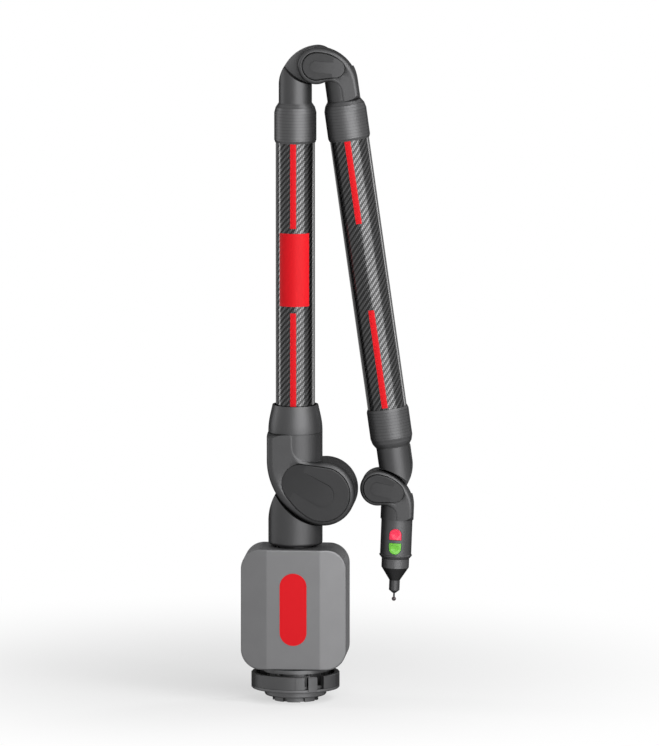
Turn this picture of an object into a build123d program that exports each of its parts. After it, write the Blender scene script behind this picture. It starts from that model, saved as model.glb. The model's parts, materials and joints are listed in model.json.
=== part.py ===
from build123d import *
import os
from dataclasses import dataclass, replace
from math import acos, atan2, cos, degrees, radians, sin, sqrt

# Portable measuring arm, parked, in millimetres. +Z is up, the camera side is -Y, and the origin is
# the centre of the foot's bottom face. Every tube axis lies in the plane Y = 0, and every hinge axis
# runs along Y, beside the two tubes that it joins, so that the arm folds flat.

# Clearances
SPLIT_GAP = 0.3  # from the middle plane of a hinge to each of its two castings
SEAM_GAP = 0.4  # between two faces that turn past each other
CAP_GAP = 0.8  # groove around a cap
CUT_GAP = 2.2  # open gap between a casting and the curved end of its mate
FIT_GAP = 0.05  # radial, between a shaft, bearing or tube and its bore
SLIDE_GAP = 0.35  # around a button
FAR = 400.0  # longer than any cut needs

# Foot, flange and hub under the housing
FOOT_RADIUS = 30.5
FOOT_HEIGHT = 7.0
FOOT_NOTCHES = 8
FOOT_NOTCH_WIDTH = 6.5
FOOT_NOTCH_DEPTH = 4.0
PLATE_RADIUS = 41.3
PLATE_HEIGHT = 9.5
PLATE_EDGE = 1.5
FLANGE_RADIUS = 59.0
FLANGE_HEIGHT = 4.1
FLANGE_EDGE = 1.2
HUB_RADIUS = 37.3
HUB_HEIGHT = 19.4
HUB_PLATE_RADIUS = 45.5
HUB_PLATE_HEIGHT = 5.0
HUB_SCREWS = 6
HUB_SCREW_CIRCLE = 41.3
SCREW_RADIUS = 2.0
SCREW_HEAD_RADIUS = 3.6
SCREW_HEAD_HEIGHT = 2.6
SCREW_SOCKET = 1.7
HUB_SCREW_LENGTH = 10.0

# Locking ring, which turns on the flange
RING_HEIGHT = 17.0
RING_WALL = 6.5
RING_EDGE = 1.0
RING_PATTERNS = 2
RING_WINDOW_DEPTH = 4.5
RING_BAND = 4.0  # height of the band inside that keeps the ring whole below its windows
RING_WINDOWS = ((16.3, 21.0), (33.2, 44.2))  # from the front towards +X, in degrees
RING_TAB = (21.0, 33.2)
RING_TAB_PROUD = 1.6
RING_TAB_DROP = 2.4
RING_GROOVE = (3.9, 4.7)
RING_GROOVE_DEPTH = 1.0

# Housing
HOUSING_WIDTH = 141.0
HOUSING_DEPTH = 84.0
HOUSING_HEIGHT = 162.5
HOUSING_CORNER = 27.0
HOUSING_WALL = 3.0
HOUSING_FLOOR = 6.0
HOUSING_PANEL = 71.6
HOUSING_SET_BACK = 6.0
HOUSING_BEND = 15.0
HOUSING_FRONT_EDGE = 2.2
HOUSING_BACK_EDGE = 12.0
FACING_FRONT = -0.9  # the bent front faces have a normal with Y below this
HOUSING_SPLIT = -20.0
HOUSING_MOUTH = 28.0
HOUSING_BOSS = 4.6
HOUSING_BOSS_X = 58.5
HOUSING_BOSS_LIFT = 24.0
BADGE_WIDTH = 36.0
BADGE_HEIGHT = 97.5
BADGE_LIFT = 82.0
BADGE_THICKNESS = 1.0
BADGE_SINK = 0.6

# What the housing holds
BARREL_RADIUS = 30.0
BARREL_BORE = 26.0
SPINDLE_RADIUS = 14.0
SPINDLE_FLANGE = 24.0
SPINDLE_FLANGE_HEIGHT = 5.0
SPINDLE_STUB = 8.0
BASE_BEARING_WIDTH = 14.0
BASE_BEARING_INSET = 12.0
BASE_ENCODER_RADIUS = 21.0
BASE_ENCODER_LIFT = 6.0
READ_HEAD_WIDTH = 12.0
READ_HEAD_HEIGHT = 5.0
BOARD_WIDTH = 62.0
BOARD_HEIGHT = 112.0
BOARD_THICKNESS = 1.6
BOARD_LIFT = 3.4
BOARD_POST = 2.5
BOARD_POST_INSET = 4.0
CHIP_WIDTH = 14.0
CHIP_HEIGHT = 1.5
CHIP_COUNT = 3
BATTERY_WIDTH = 64.0
BATTERY_LIFT = 53.0
BATTERY_TOP_MARGIN = 19.5  # from the battery to the housing's top
BATTERY_GAP = 0.3
BATTERY_EDGE = 1.5
PANEL_WIDTH = 74.0
PANEL_HEIGHT = 26.0
PANEL_THICKNESS = 2.4
PANEL_LIFT = 26.0
PANEL_CORNER = 5.0
POWER_BUTTON_RADIUS = 5.0
POWER_BUTTON_X = 22.0
POWER_BUTTON_PROUD = 1.2
POWER_BUTTON_RIM = 1.2
PANEL_WINDOW_MARGIN = 4.0
PORT_COVER_WIDTH = 34.0
PORT_COVER_HEIGHT = 14.0
PORT_COVER_PROUD = 1.0
PORT_COVER_CORNER = 4.0
PORT_PLUG_MARGIN = 3.0
PORT_COVER_X = -10.0
HOUSING_SCREW_LENGTH = 68.0
HOUSING_SCREW_SINK = 4.0

# Places of the hinges
NECK_LIFT = 2.5  # gap between the housing and the neck
NECK_EDGE = 4.0
NECK_LENGTH = 71.9
UPPER_LENGTH = 572.8
FOREARM_LENGTH = 572.0
FOREARM_LEAN = 8.0
HANDLE_LEAN = 2.2

# Shoulder hinge
SHOULDER_OFFSET = 39.0
SHOULDER_RADIUS = 36.25
SHOULDER_DISC = 43.0
SHOULDER_TURN = 45.0
SHOULDER_SEAM = 79.5
SHOULDER_EDGE = 9.0
SHOULDER_VALLEY = 25.0
SHOULDER_RIM = 6.5
SHOULDER_CAP_END = 25.0
SHOULDER_CAP_REACH = (-29.2, 15.1)
SHOULDER_CAP_PROUD = 1.8
SHOULDER_TONGUE = 15.1
SHOULDER_RAMP_RISE = 4.6
SHOULDER_RAMP_FALL = 1.2
SHOULDER_PIN = 10.0
SHOULDER_BEARING = 20.0
SHOULDER_BEARING_WIDTH = 9.0
SHOULDER_ROLL_SHAFT = 12.0
SHOULDER_ROLL_BEARING = 17.0
SHOULDER_ROLL_DEPTH = 27.0
SHOULDER_ROLL_WIDTH = 9.0

# Elbow hinge
ELBOW_OFFSET = 29.0
ELBOW_RADIUS = 22.15
ELBOW_DISC = 24.5
ELBOW_TURN = 30.0
ELBOW_SEAM = 51.0
ELBOW_EDGE = 5.0
ELBOW_VALLEY = 15.0
ELBOW_RIM = 6.5
ELBOW_CAP_END = 12.0
ELBOW_CAP_REACH = (-25.6, 6.1)
ELBOW_CAP_PROUD = 1.4
ELBOW_TONGUE = 7.5
ELBOW_RAMP_RISE = 3.0
ELBOW_RAMP_FALL = 1.0
ELBOW_PIN = 6.0
ELBOW_BEARING = 12.0
ELBOW_BEARING_WIDTH = 4.5
ELBOW_ROLL_SHAFT = 8.0
ELBOW_ROLL_BEARING = 12.0
ELBOW_ROLL_DEPTH = 20.0
ELBOW_ROLL_WIDTH = 6.0

# Wrist hinge
WRIST_OFFSET = 26.4
WRIST_DISC = 23.5
WRIST_TURN = 28.0
WRIST_RIM = 4.8
WRIST_CAP_END = 13.0
WRIST_CAP_REACH = (-22.4, 4.5)
WRIST_TONGUE = 8.5

# Caps and hinge insides, the same on every hinge
FACE_PROUD = 0.4  # the flat side of a casting stands this far out of its round end
CAP_SEAT = 3.0
CAP_EDGE = 1.2
LIP = 3.0
ENCODER_THICKNESS = 1.2
ENCODER_SPACE = 4.0  # from a hinge's encoder disc to the floor of the cap
ENCODER_GAP = 1.2
PIN_SHORT = 2.0
PIN_EDGE = 0.5
BLEND_SHARE = 1.5  # of a casting's edge rounding, under its round end

# Collar, tubes and sleeves
COLLAR_STRAIGHT = 1.5
COLLAR_LENGTH = 36.5
COLLAR_RIM_RADIUS = 30.6
COLLAR_RIM_SLOPE = 0.2
COLLAR_MOUTH = 28.2
COLLAR_MOUTH_DEPTH = 8.0
TUBE_RADIUS = 26.25
TUBE_WALL = 2.25
TUBE_SEAT = 22.0
SLEEVE_RADIUS = 28.15
SLEEVE_CREASE = 6.0
SLEEVE_CREASE_RADIUS = 26.2
SLEEVE_CONE = 13.0
SLEEVE_LENGTH = 53.0
SLEEVE_LIP = 3.5
SLEEVE_LIP_STEP = 1.2
SHAFT_SEAT = 14.0
SPIGOT_RADIUS = 16.0
SPIGOT_LENGTH = 14.0

# Handle and probe
HANDLE_SEAM = 42.0
HANDLE_RADIUS = 20.85
HANDLE_WALL = 3.2
HANDLE_LENGTH = 47.4
PROBE_RING_RADIUS = 21.8
PROBE_RING_LENGTH = 6.2
NOSE_RADIUS = 18.4
NOSE_STRAIGHT = 11.8
NOSE_LENGTH = 29.5
HOLDER_RADIUS = 7.1
HOLDER_LENGTH = 13.4
HOLDER_TIP_RADIUS = 2.2
HOLDER_TIP_LENGTH = 4.0
HOLDER_SHANK = 4.0
HOLDER_SHANK_LENGTH = 16.0
STYLUS_RADIUS = 1.25
BALL_RADIUS = 3.0
PROBE_LENGTH = 150.5  # from the wrist axis to the ball's centre, along the handle
BUTTON_WIDTH = 16.2
BUTTON_TOP = 11.4  # from the seam to the red button's rounded end
BUTTON_HEIGHT = 15.0
BUTTON_BAR = 4.4
BUTTON_PROUD = 1.0
BUTTON_BACK = 15.6  # from the handle's axis to the flat back of a button
BUTTON_EDGE = 0.8
SWITCH_BOARD_WIDTH = 21.0
SWITCH_BOARD_MARGIN = 3.0
SWITCH_BOARD_FRONT = 13.5  # from the handle's axis
SWITCH_RADIUS = 3.0
SWITCH_HEIGHT = 0.8
BALL_SEAT = 1.0
STYLUS_SEAT = 6.0

# Heights up the column
PLATE_BOTTOM = FOOT_HEIGHT
FLANGE_BOTTOM = PLATE_BOTTOM + PLATE_HEIGHT
FLANGE_TOP = FLANGE_BOTTOM + FLANGE_HEIGHT
HUB_PLATE_BOTTOM = FLANGE_TOP + HUB_HEIGHT
HOUSING_BOTTOM = HUB_PLATE_BOTTOM + HUB_PLATE_HEIGHT
HOUSING_TOP = HOUSING_BOTTOM + HOUSING_HEIGHT
BATTERY_HEIGHT = HOUSING_HEIGHT - BATTERY_LIFT - BATTERY_TOP_MARGIN
NECK_BOTTOM = HOUSING_TOP + NECK_LIFT
SHOULDER_HEIGHT = NECK_BOTTOM + NECK_LENGTH
ELBOW_HEIGHT = SHOULDER_HEIGHT + UPPER_LENGTH


@dataclass
class Hinge:
    """Sizes that the two castings of one hinge share. Heights are measured along the tube."""

    offset: float
    radius: float
    disc: float
    turn: float
    seam: float
    edge: float
    valley: float
    rim: float
    cap_end: float
    cap_reach: tuple
    proud: float
    tongue: float
    rise: float
    fall: float
    pin: float
    bearing: float
    bearing_width: float

    @property
    def depth(self):
        return self.radius + FACE_PROUD

    @property
    def cap_floor(self):
        return self.depth - CAP_SEAT

    @property
    def arc_x(self):
        reach = self.offset + self.radius - self.disc
        return (self.turn**2 - reach**2) / (2 * reach)

    @property
    def arc_radius(self):
        return self.offset + self.radius + self.arc_x


SHOULDER = Hinge(
    offset=SHOULDER_OFFSET, radius=SHOULDER_RADIUS, disc=SHOULDER_DISC, turn=SHOULDER_TURN,
    seam=SHOULDER_SEAM, edge=SHOULDER_EDGE, valley=SHOULDER_VALLEY, rim=SHOULDER_RIM,
    cap_end=SHOULDER_CAP_END, cap_reach=SHOULDER_CAP_REACH, proud=SHOULDER_CAP_PROUD,
    tongue=SHOULDER_TONGUE, rise=SHOULDER_RAMP_RISE, fall=SHOULDER_RAMP_FALL,
    pin=SHOULDER_PIN, bearing=SHOULDER_BEARING, bearing_width=SHOULDER_BEARING_WIDTH,
)
NECK = replace(SHOULDER, seam=NECK_LENGTH)
ELBOW = Hinge(
    offset=ELBOW_OFFSET, radius=ELBOW_RADIUS, disc=ELBOW_DISC, turn=ELBOW_TURN,
    seam=ELBOW_SEAM, edge=ELBOW_EDGE, valley=ELBOW_VALLEY, rim=ELBOW_RIM,
    cap_end=ELBOW_CAP_END, cap_reach=ELBOW_CAP_REACH, proud=ELBOW_CAP_PROUD,
    tongue=ELBOW_TONGUE, rise=ELBOW_RAMP_RISE, fall=ELBOW_RAMP_FALL,
    pin=ELBOW_PIN, bearing=ELBOW_BEARING, bearing_width=ELBOW_BEARING_WIDTH,
)
WRIST = replace(
    ELBOW, offset=WRIST_OFFSET, disc=WRIST_DISC, turn=WRIST_TURN, rim=WRIST_RIM, cap_end=WRIST_CAP_END,
    cap_reach=WRIST_CAP_REACH, tongue=WRIST_TONGUE,
)
HANDLE = replace(WRIST, seam=HANDLE_SEAM)


def casting_plane(hinge_point, turned, outward):
    """The middle plane of a casting: x points from its tube to the hinge, and y along its tube."""
    along = Vector(sin(radians(turned)), 0, cos(radians(turned)))
    side = Vector(0, outward, 0)
    return Plane(origin=hinge_point, x_dir=along.cross(side), z_dir=side)


def tube_plane(hinge, side):
    """The same plane with its origin on the tube's axis, level with the hinge."""
    return Plane(origin=side.from_local_coords((-hinge.offset, 0, 0)), x_dir=side.x_dir, z_dir=side.z_dir)


def cross_plane(plane, height):
    """A plane square to the tube, at a height along it."""
    return Plane(origin=plane.from_local_coords((0, height, 0)), x_dir=plane.x_dir, z_dir=plane.y_dir)


def tube_axis(plane):
    return Axis(plane.origin, plane.y_dir)


SHOULDER_POINT = Vector(SHOULDER_OFFSET, 0, SHOULDER_HEIGHT)
ELBOW_POINT = Vector(ELBOW_OFFSET, 0, ELBOW_HEIGHT)
neck_side = casting_plane(SHOULDER_POINT, 180, 1)
shoulder_side = casting_plane(SHOULDER_POINT, 0, -1)
elbow_back_side = casting_plane(ELBOW_POINT, 180, 1)
elbow_front_side = casting_plane(ELBOW_POINT, 180 - FOREARM_LEAN, -1)
neck_line = tube_plane(NECK, neck_side)
shoulder_line = tube_plane(SHOULDER, shoulder_side)
elbow_back_line = tube_plane(ELBOW, elbow_back_side)
forearm_line = tube_plane(ELBOW, elbow_front_side)
WRIST_POINT = forearm_line.from_local_coords((WRIST_OFFSET, FOREARM_LENGTH, 0))
wrist_back_side = casting_plane(WRIST_POINT, -FOREARM_LEAN, 1)
handle_side = casting_plane(WRIST_POINT, 180 + HANDLE_LEAN, -1)
wrist_back_line = tube_plane(WRIST, wrist_back_side)
handle_line = tube_plane(HANDLE, handle_side)

os.makedirs("parts", exist_ok=True)


def save(piece, name):
    piece.label = name
    export_step(piece, f"parts/{name}.step")


def turned(plane, outline):
    """A solid turned about the y axis of a plane, from points of (radius, height)."""
    with BuildPart() as piece:
        with BuildSketch(plane):
            with BuildLine():
                Polyline(*outline, close=True)
            make_face()
        revolve(axis=tube_axis(plane))
    return piece.part


def bearings(floor, shaft, bore, lows, width):
    """Ball bearings on one shaft, each from a height over a plane, with their races as one ring."""
    with BuildPart() as piece:
        for low in lows:
            with BuildSketch(floor.offset(low)):
                Circle(bore - FIT_GAP)
                Circle(shaft + FIT_GAP, mode=Mode.SUBTRACT)
            extrude(amount=width)
    return piece.part


def disc(floor, low, radius, hole, thickness):
    with BuildPart() as piece:
        with BuildSketch(floor.offset(low)):
            Circle(radius)
            Circle(hole, mode=Mode.SUBTRACT)
        extrude(amount=thickness)
    return piece.part


# Foot, flange, hub and ring


def make_foot():
    with BuildPart() as foot:
        with BuildSketch():
            Circle(FOOT_RADIUS)
            with PolarLocations(FOOT_RADIUS, FOOT_NOTCHES, start_angle=180 / FOOT_NOTCHES):
                Rectangle(2 * FOOT_NOTCH_DEPTH, FOOT_NOTCH_WIDTH, mode=Mode.SUBTRACT)
        extrude(amount=FOOT_HEIGHT)
    return foot.part


def make_base_plate():
    with BuildPart() as plate:
        with BuildSketch(Plane.XY.offset(PLATE_BOTTOM)):
            Circle(PLATE_RADIUS)
        extrude(amount=PLATE_HEIGHT)
        chamfer(plate.edges().sort_by(Axis.Z)[0], PLATE_EDGE)
        with BuildSketch(Plane.XY.offset(FLANGE_BOTTOM)):
            Circle(FLANGE_RADIUS)
        extrude(amount=FLANGE_HEIGHT)
        low_rim = plate.edges().filter_by(GeomType.CIRCLE).filter_by_position(
            Axis.Z, FLANGE_BOTTOM - FIT_GAP, FLANGE_BOTTOM + FIT_GAP
        )
        chamfer(low_rim.sort_by(SortBy.RADIUS)[-1], FLANGE_EDGE)
    return plate.part


def make_hub():
    with BuildPart() as hub:
        with BuildSketch(Plane.XY.offset(FLANGE_TOP)):
            Circle(HUB_RADIUS)
        extrude(amount=HUB_HEIGHT)
        with BuildSketch(Plane.XY.offset(HUB_PLATE_BOTTOM)):
            Circle(HUB_PLATE_RADIUS)
        extrude(amount=HUB_PLATE_HEIGHT)
        with BuildSketch(Plane.XY.offset(HUB_PLATE_BOTTOM)):
            with PolarLocations(HUB_SCREW_CIRCLE, HUB_SCREWS):
                Circle(SCREW_RADIUS + FIT_GAP)
        extrude(amount=HUB_PLATE_HEIGHT, mode=Mode.SUBTRACT)
    return hub.part


def make_hub_screws():
    with BuildPart() as screws:
        with BuildSketch(Plane.XY.offset(HUB_PLATE_BOTTOM)):
            with PolarLocations(HUB_SCREW_CIRCLE, HUB_SCREWS):
                Circle(SCREW_RADIUS)
        extrude(amount=HUB_SCREW_LENGTH)
        with BuildSketch(Plane.XY.offset(HUB_PLATE_BOTTOM)):
            with PolarLocations(HUB_SCREW_CIRCLE, HUB_SCREWS):
                Circle(SCREW_HEAD_RADIUS)
        extrude(amount=-SCREW_HEAD_HEIGHT)
        with BuildSketch(Plane.XY.offset(HUB_PLATE_BOTTOM - SCREW_HEAD_HEIGHT)):
            with PolarLocations(HUB_SCREW_CIRCLE, HUB_SCREWS):
                RegularPolygon(SCREW_SOCKET, 6)
        extrude(amount=SCREW_HEAD_HEIGHT / 2, mode=Mode.SUBTRACT)
    return screws.part


def sector_edges(inner, outer, start, end):
    """The edges of a slice of a ring, its angles counted from the front (-Y) towards +X."""
    CenterArc((0, 0), outer, start - 90, end - start)
    CenterArc((0, 0), inner, start - 90, end - start)
    for angle in (radians(start - 90), radians(end - 90)):
        Line(
            (inner * cos(angle), inner * sin(angle)),
            (outer * cos(angle), outer * sin(angle)),
        )


def make_lock_ring():
    bottom = FLANGE_TOP + SEAM_GAP
    inner = FLANGE_RADIUS - RING_WALL
    proud = FLANGE_RADIUS + RING_TAB_PROUD
    with BuildPart() as ring:
        with BuildSketch(Plane.XY.offset(bottom)):
            Circle(FLANGE_RADIUS)
            Circle(inner, mode=Mode.SUBTRACT)
        extrude(amount=RING_HEIGHT)
        top_rims = ring.edges().group_by(Axis.Z)[-1]
        chamfer(top_rims, RING_EDGE)
        for pattern in range(RING_PATTERNS):
            shift = pattern * 360 / RING_PATTERNS
            for start, end in RING_WINDOWS:
                with BuildSketch(Plane.XY.offset(bottom)):
                    with BuildLine():
                        sector_edges(FLANGE_RADIUS - RING_WINDOW_DEPTH, proud, start + shift, end + shift)
                    make_face()
                extrude(amount=RING_HEIGHT, mode=Mode.SUBTRACT)
                with BuildSketch(Plane.XY.offset(bottom + RING_BAND)):
                    with BuildLine():
                        sector_edges(inner - SEAM_GAP, proud, start + shift, end + shift)
                    make_face()
                extrude(amount=RING_HEIGHT, mode=Mode.SUBTRACT)
            with BuildSketch(Plane.XY.offset(bottom)):
                with BuildLine():
                    start, end = RING_GROOVE
                    sector_edges(FLANGE_RADIUS - RING_GROOVE_DEPTH, proud, start + shift, end + shift)
                make_face()
            extrude(amount=RING_HEIGHT, mode=Mode.SUBTRACT)
            with BuildSketch(Plane.XY.offset(bottom)):
                with BuildLine():
                    start, end = RING_TAB
                    sector_edges(FLANGE_RADIUS - RING_WALL / 2, proud, start + shift, end + shift)
                make_face()
            extrude(amount=RING_HEIGHT - RING_EDGE)
            with BuildSketch(Plane.XY.offset(bottom)):
                with BuildLine():
                    sector_edges(FLANGE_RADIUS + SEAM_GAP, proud, start + shift, end + shift)
                make_face()
            extrude(amount=-RING_TAB_DROP)
    return ring.part


# Hinge castings


def plate_edges(hinge):
    """The comma outline: the tube's width at the top, curving into the disc around the hinge."""
    sweep = degrees(atan2(hinge.turn, hinge.arc_x))
    inner = -hinge.offset + hinge.edge / 2
    valley_x = inner + hinge.valley
    valley_y = sqrt((hinge.disc + hinge.valley) ** 2 - valley_x**2)
    top = degrees(atan2(valley_y, valley_x))
    far = -hinge.offset - hinge.radius
    CenterArc((hinge.arc_x, hinge.turn), hinge.arc_radius, 180, sweep)
    CenterArc((0, 0), hinge.disc, 180 + sweep, 180 + top - sweep)
    CenterArc((valley_x, valley_y), hinge.valley, 180 + top, -top)
    Polyline((inner, valley_y), (inner, hinge.seam), (far, hinge.seam), (far, hinge.turn))


def cap_end_centre(hinge):
    """The centre of the cap's rounded end, from the hinge axis."""
    return Vector(*hinge.cap_reach)


def belly_centre(hinge):
    """The centre of the cap's long outer curve, which touches its disc and its rounded end."""
    end = cap_end_centre(hinge)
    belly = hinge.arc_radius - hinge.rim
    to_disc = belly - (hinge.disc - hinge.rim)
    to_end = belly - hinge.cap_end
    corner = acos((to_disc**2 + end.length**2 - to_end**2) / (2 * to_disc * end.length))
    angle = atan2(end.Y, end.X) - corner
    return Vector(to_disc * cos(angle), to_disc * sin(angle))


def cap_edges(hinge, grow):
    """The cap's outline: a disc and a smaller rounded end, joined by a line and a long curve."""
    disc = hinge.disc - hinge.rim + grow
    end = hinge.cap_end + grow
    centre = cap_end_centre(hinge)
    belly = belly_centre(hinge)
    from_end = degrees(atan2(centre.Y - belly.Y, centre.X - belly.X)) + 360
    from_disc = degrees(atan2(-belly.Y, -belly.X)) + 360
    normal = degrees(atan2(centre.Y, centre.X)) - degrees(acos((disc - end) / centre.length))
    across = Vector(cos(radians(normal)), sin(radians(normal)))
    CenterArc((belly.X, belly.Y), hinge.arc_radius - hinge.rim + grow, from_end, from_disc - from_end)
    CenterArc((0, 0), disc, from_disc, 360 + normal - from_disc)
    Line(across * disc, centre + across * end)
    CenterArc(centre, end, normal, from_end - normal)


def make_plate(hinge, side):
    """The comma-shaped half that lies beside the mate, with its outer edges rounded."""
    with BuildPart() as plate:
        with BuildSketch(side.offset(SPLIT_GAP)):
            with BuildLine():
                plate_edges(hinge)
            make_face()
        extrude(amount=hinge.depth - SPLIT_GAP)
        face = plate.faces().sort_by(Axis(side.origin, side.z_dir))[-1]
        rim = face.edges().filter_by(lambda edge: side.to_local_coords(edge.center()).Y < hinge.seam - 1)
        fillet(rim, hinge.edge)
    return plate.part


def make_casting(hinge, side):
    """A round end on the tube's axis that flows into a comma-shaped plate around the hinge axis."""
    line = tube_plane(hinge, side)
    blend = hinge.edge * BLEND_SHARE
    with BuildPart() as casting:
        with BuildSketch(cross_plane(line, 0)):
            Circle(hinge.radius)
        extrude(amount=hinge.seam)
        with BuildSketch(side):
            with Locations((hinge.arc_x, hinge.turn)):
                Circle(hinge.arc_radius)
            with Locations((-hinge.offset, hinge.turn)):
                Rectangle(3 * hinge.radius, FAR, align=(Align.CENTER, Align.MIN))
        extrude(amount=FAR, both=True, mode=Mode.INTERSECT)
        with BuildSketch(side.offset(SPLIT_GAP)):
            with Locations((hinge.arc_x, -hinge.turn)):
                Circle(hinge.arc_radius + CUT_GAP)
            Circle(hinge.disc + CUT_GAP)
        extrude(amount=-FAR, mode=Mode.SUBTRACT)
        add(make_plate(hinge, side))
        with BuildSketch(line):
            with BuildLine():
                CenterArc((hinge.radius, hinge.seam - blend), blend, 0, 90)
                Polyline(
                    (hinge.radius, hinge.seam), (hinge.radius, hinge.seam + 1),
                    (3 * hinge.radius, hinge.seam + 1), (3 * hinge.radius, hinge.seam - blend),
                    (hinge.radius + blend, hinge.seam - blend),
                )
            make_face()
        revolve(axis=tube_axis(line), mode=Mode.SUBTRACT)
        with BuildSketch(side.offset(hinge.cap_floor)):
            with BuildLine():
                cap_edges(hinge, CAP_GAP)
            make_face()
        extrude(amount=FAR, mode=Mode.SUBTRACT)
    return casting.part


def make_pin_casting(hinge, side, spigot):
    """A casting that holds the hinge pin in a blind seat, with or without a spigot for a sleeve."""
    with BuildPart() as casting:
        add(make_casting(hinge, side))
        with BuildSketch(side):
            Circle(hinge.pin + FIT_GAP)
        extrude(amount=hinge.cap_floor - LIP, mode=Mode.SUBTRACT)
        if spigot:
            with BuildSketch(cross_plane(tube_plane(hinge, side), hinge.seam)):
                Circle(SPIGOT_RADIUS)
            extrude(amount=SPIGOT_LENGTH)
    return casting.part


def make_neck(hinge, side):
    """The neck's casting, with its bottom edge rounded under the comma-shaped plate."""
    line = tube_plane(hinge, side)
    low = hinge.seam - NECK_EDGE
    blend = hinge.edge
    with BuildPart() as casting:
        add(make_pin_casting(hinge, side, False))
        with BuildSketch(line):
            with BuildLine():
                CenterArc((hinge.radius - NECK_EDGE, low), NECK_EDGE, 0, 90)
                CenterArc((hinge.radius, low - blend), blend, 0, 90)
                Polyline(
                    (hinge.radius - NECK_EDGE, hinge.seam), (hinge.radius - NECK_EDGE, hinge.seam + 1),
                    (3 * hinge.radius, hinge.seam + 1), (3 * hinge.radius, low - blend),
                    (hinge.radius + blend, low - blend),
                )
            make_face()
        revolve(axis=tube_axis(line), mode=Mode.SUBTRACT)
    return casting.part


def make_bearing_casting(hinge, side, roll_radius, roll_depth):
    """A casting with the hinge bearings' bore, and a bore for the roll shaft at its round end."""
    with BuildPart() as casting:
        add(make_casting(hinge, side))
        with BuildSketch(side):
            Circle(hinge.pin + 2 * SEAM_GAP)
        extrude(amount=hinge.depth, mode=Mode.SUBTRACT)
        with BuildSketch(side.offset(LIP)):
            Circle(hinge.bearing)
        extrude(amount=hinge.depth, mode=Mode.SUBTRACT)
        if roll_depth:
            with BuildSketch(cross_plane(tube_plane(hinge, side), hinge.seam)):
                Circle(roll_radius)
            extrude(amount=-roll_depth, mode=Mode.SUBTRACT)
    return casting.part


def make_wedge(hinge, slope_line):
    """Everything under the ramp, which curves down from the tongue's tip to the cap's far end."""
    tip = -hinge.tongue
    run = cap_end_centre(hinge).length + hinge.cap_end + 2 * CAP_GAP - tip
    drop = hinge.rise + hinge.fall
    curve = (run**2 + drop**2) / (2 * drop)
    sweep = degrees(atan2(run, curve - drop))
    spare = hinge.disc
    with BuildPart() as wedge:
        with BuildSketch(Plane(slope_line.origin, x_dir=slope_line.x_dir, z_dir=-slope_line.y_dir)):
            with BuildLine():
                CenterArc((tip, hinge.rise - curve), curve, 90 - sweep, sweep)
                Polyline(
                    (tip, hinge.rise), (tip - spare, hinge.rise), (tip - spare, -spare),
                    (tip + run, -spare), (tip + run, -hinge.fall),
                )
            make_face()
        extrude(amount=2 * spare, both=True)
    return wedge.part


def make_cap(hinge, side):
    """A cap with a ramp at its tube end, which carries on as a raised tongue over the disc."""
    face = side.offset(hinge.depth)
    centre = cap_end_centre(hinge)
    along = face.x_dir * centre.X + face.y_dir * centre.Y
    slope_line = Plane(origin=face.origin, x_dir=along, z_dir=face.z_dir)
    wedge = make_wedge(hinge, slope_line)
    with BuildPart() as tongue:
        with BuildSketch(slope_line.offset(-CAP_SEAT / 2)):
            Circle(hinge.tongue)
            with Locations((hinge.disc / 2, 0)):
                Rectangle(hinge.disc, 2 * hinge.tongue)
        extrude(amount=CAP_SEAT + hinge.rise)
        add(wedge, mode=Mode.INTERSECT)
    with BuildPart() as dip:
        with BuildSketch(face.offset(-CAP_SEAT / 2)):
            with BuildLine():
                cap_edges(hinge, CAP_GAP)
            make_face()
            Circle(hinge.disc - hinge.rim, mode=Mode.SUBTRACT)
        extrude(amount=2 * CAP_SEAT)
        add(wedge, mode=Mode.SUBTRACT)
    with BuildPart() as cap:
        with BuildSketch(face.offset(-CAP_SEAT)):
            with BuildLine():
                cap_edges(hinge, 0)
            make_face()
        extrude(amount=CAP_SEAT + hinge.proud)
        fillet(cap.faces().sort_by(Axis(side.origin, side.z_dir))[-1].edges(), CAP_EDGE)
        add(dip.part, mode=Mode.SUBTRACT)
        add(tongue.part)
    return cap.part


# Inside the hinges


def make_pin(hinge, side):
    """From the blind seat in one casting, through the middle, to the mate's bearings."""
    seat_end = hinge.cap_floor - LIP - FIT_GAP
    far_end = hinge.cap_floor - PIN_SHORT
    with BuildPart() as pin:
        with BuildSketch(side.offset(-far_end)):
            Circle(hinge.pin)
        extrude(amount=far_end + seat_end)
        chamfer(pin.edges().filter_by(GeomType.CIRCLE), PIN_EDGE)
    return pin.part


def make_hinge_bearings(hinge, side):
    far = hinge.cap_floor - ENCODER_SPACE - ENCODER_THICKNESS - ENCODER_GAP - hinge.bearing_width
    return bearings(side, hinge.pin, hinge.bearing, (LIP, far), hinge.bearing_width)


def make_hinge_encoder(hinge, side):
    """A disc on the pin, between the bearings and the mate's cap."""
    low = hinge.cap_floor - ENCODER_SPACE - ENCODER_THICKNESS
    return disc(side, low, hinge.bearing - ENCODER_GAP, hinge.pin + FIT_GAP, ENCODER_THICKNESS)


def make_roll_shaft(hinge, side, radius, depth):
    """From the bottom of a casting's roll bore into the part that turns on it."""
    with BuildPart() as shaft:
        with BuildSketch(cross_plane(tube_plane(hinge, side), hinge.seam - depth + SEAM_GAP)):
            Circle(radius)
        extrude(amount=depth + SHAFT_SEAT)
    return shaft.part


def make_roll_bearings(hinge, side, shaft, bore, depth, width):
    floor = cross_plane(tube_plane(hinge, side), hinge.seam - depth)
    return bearings(floor, shaft, bore, (SEAM_GAP, depth - width - SEAM_GAP), width)


# Collar, tubes and sleeves


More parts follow.
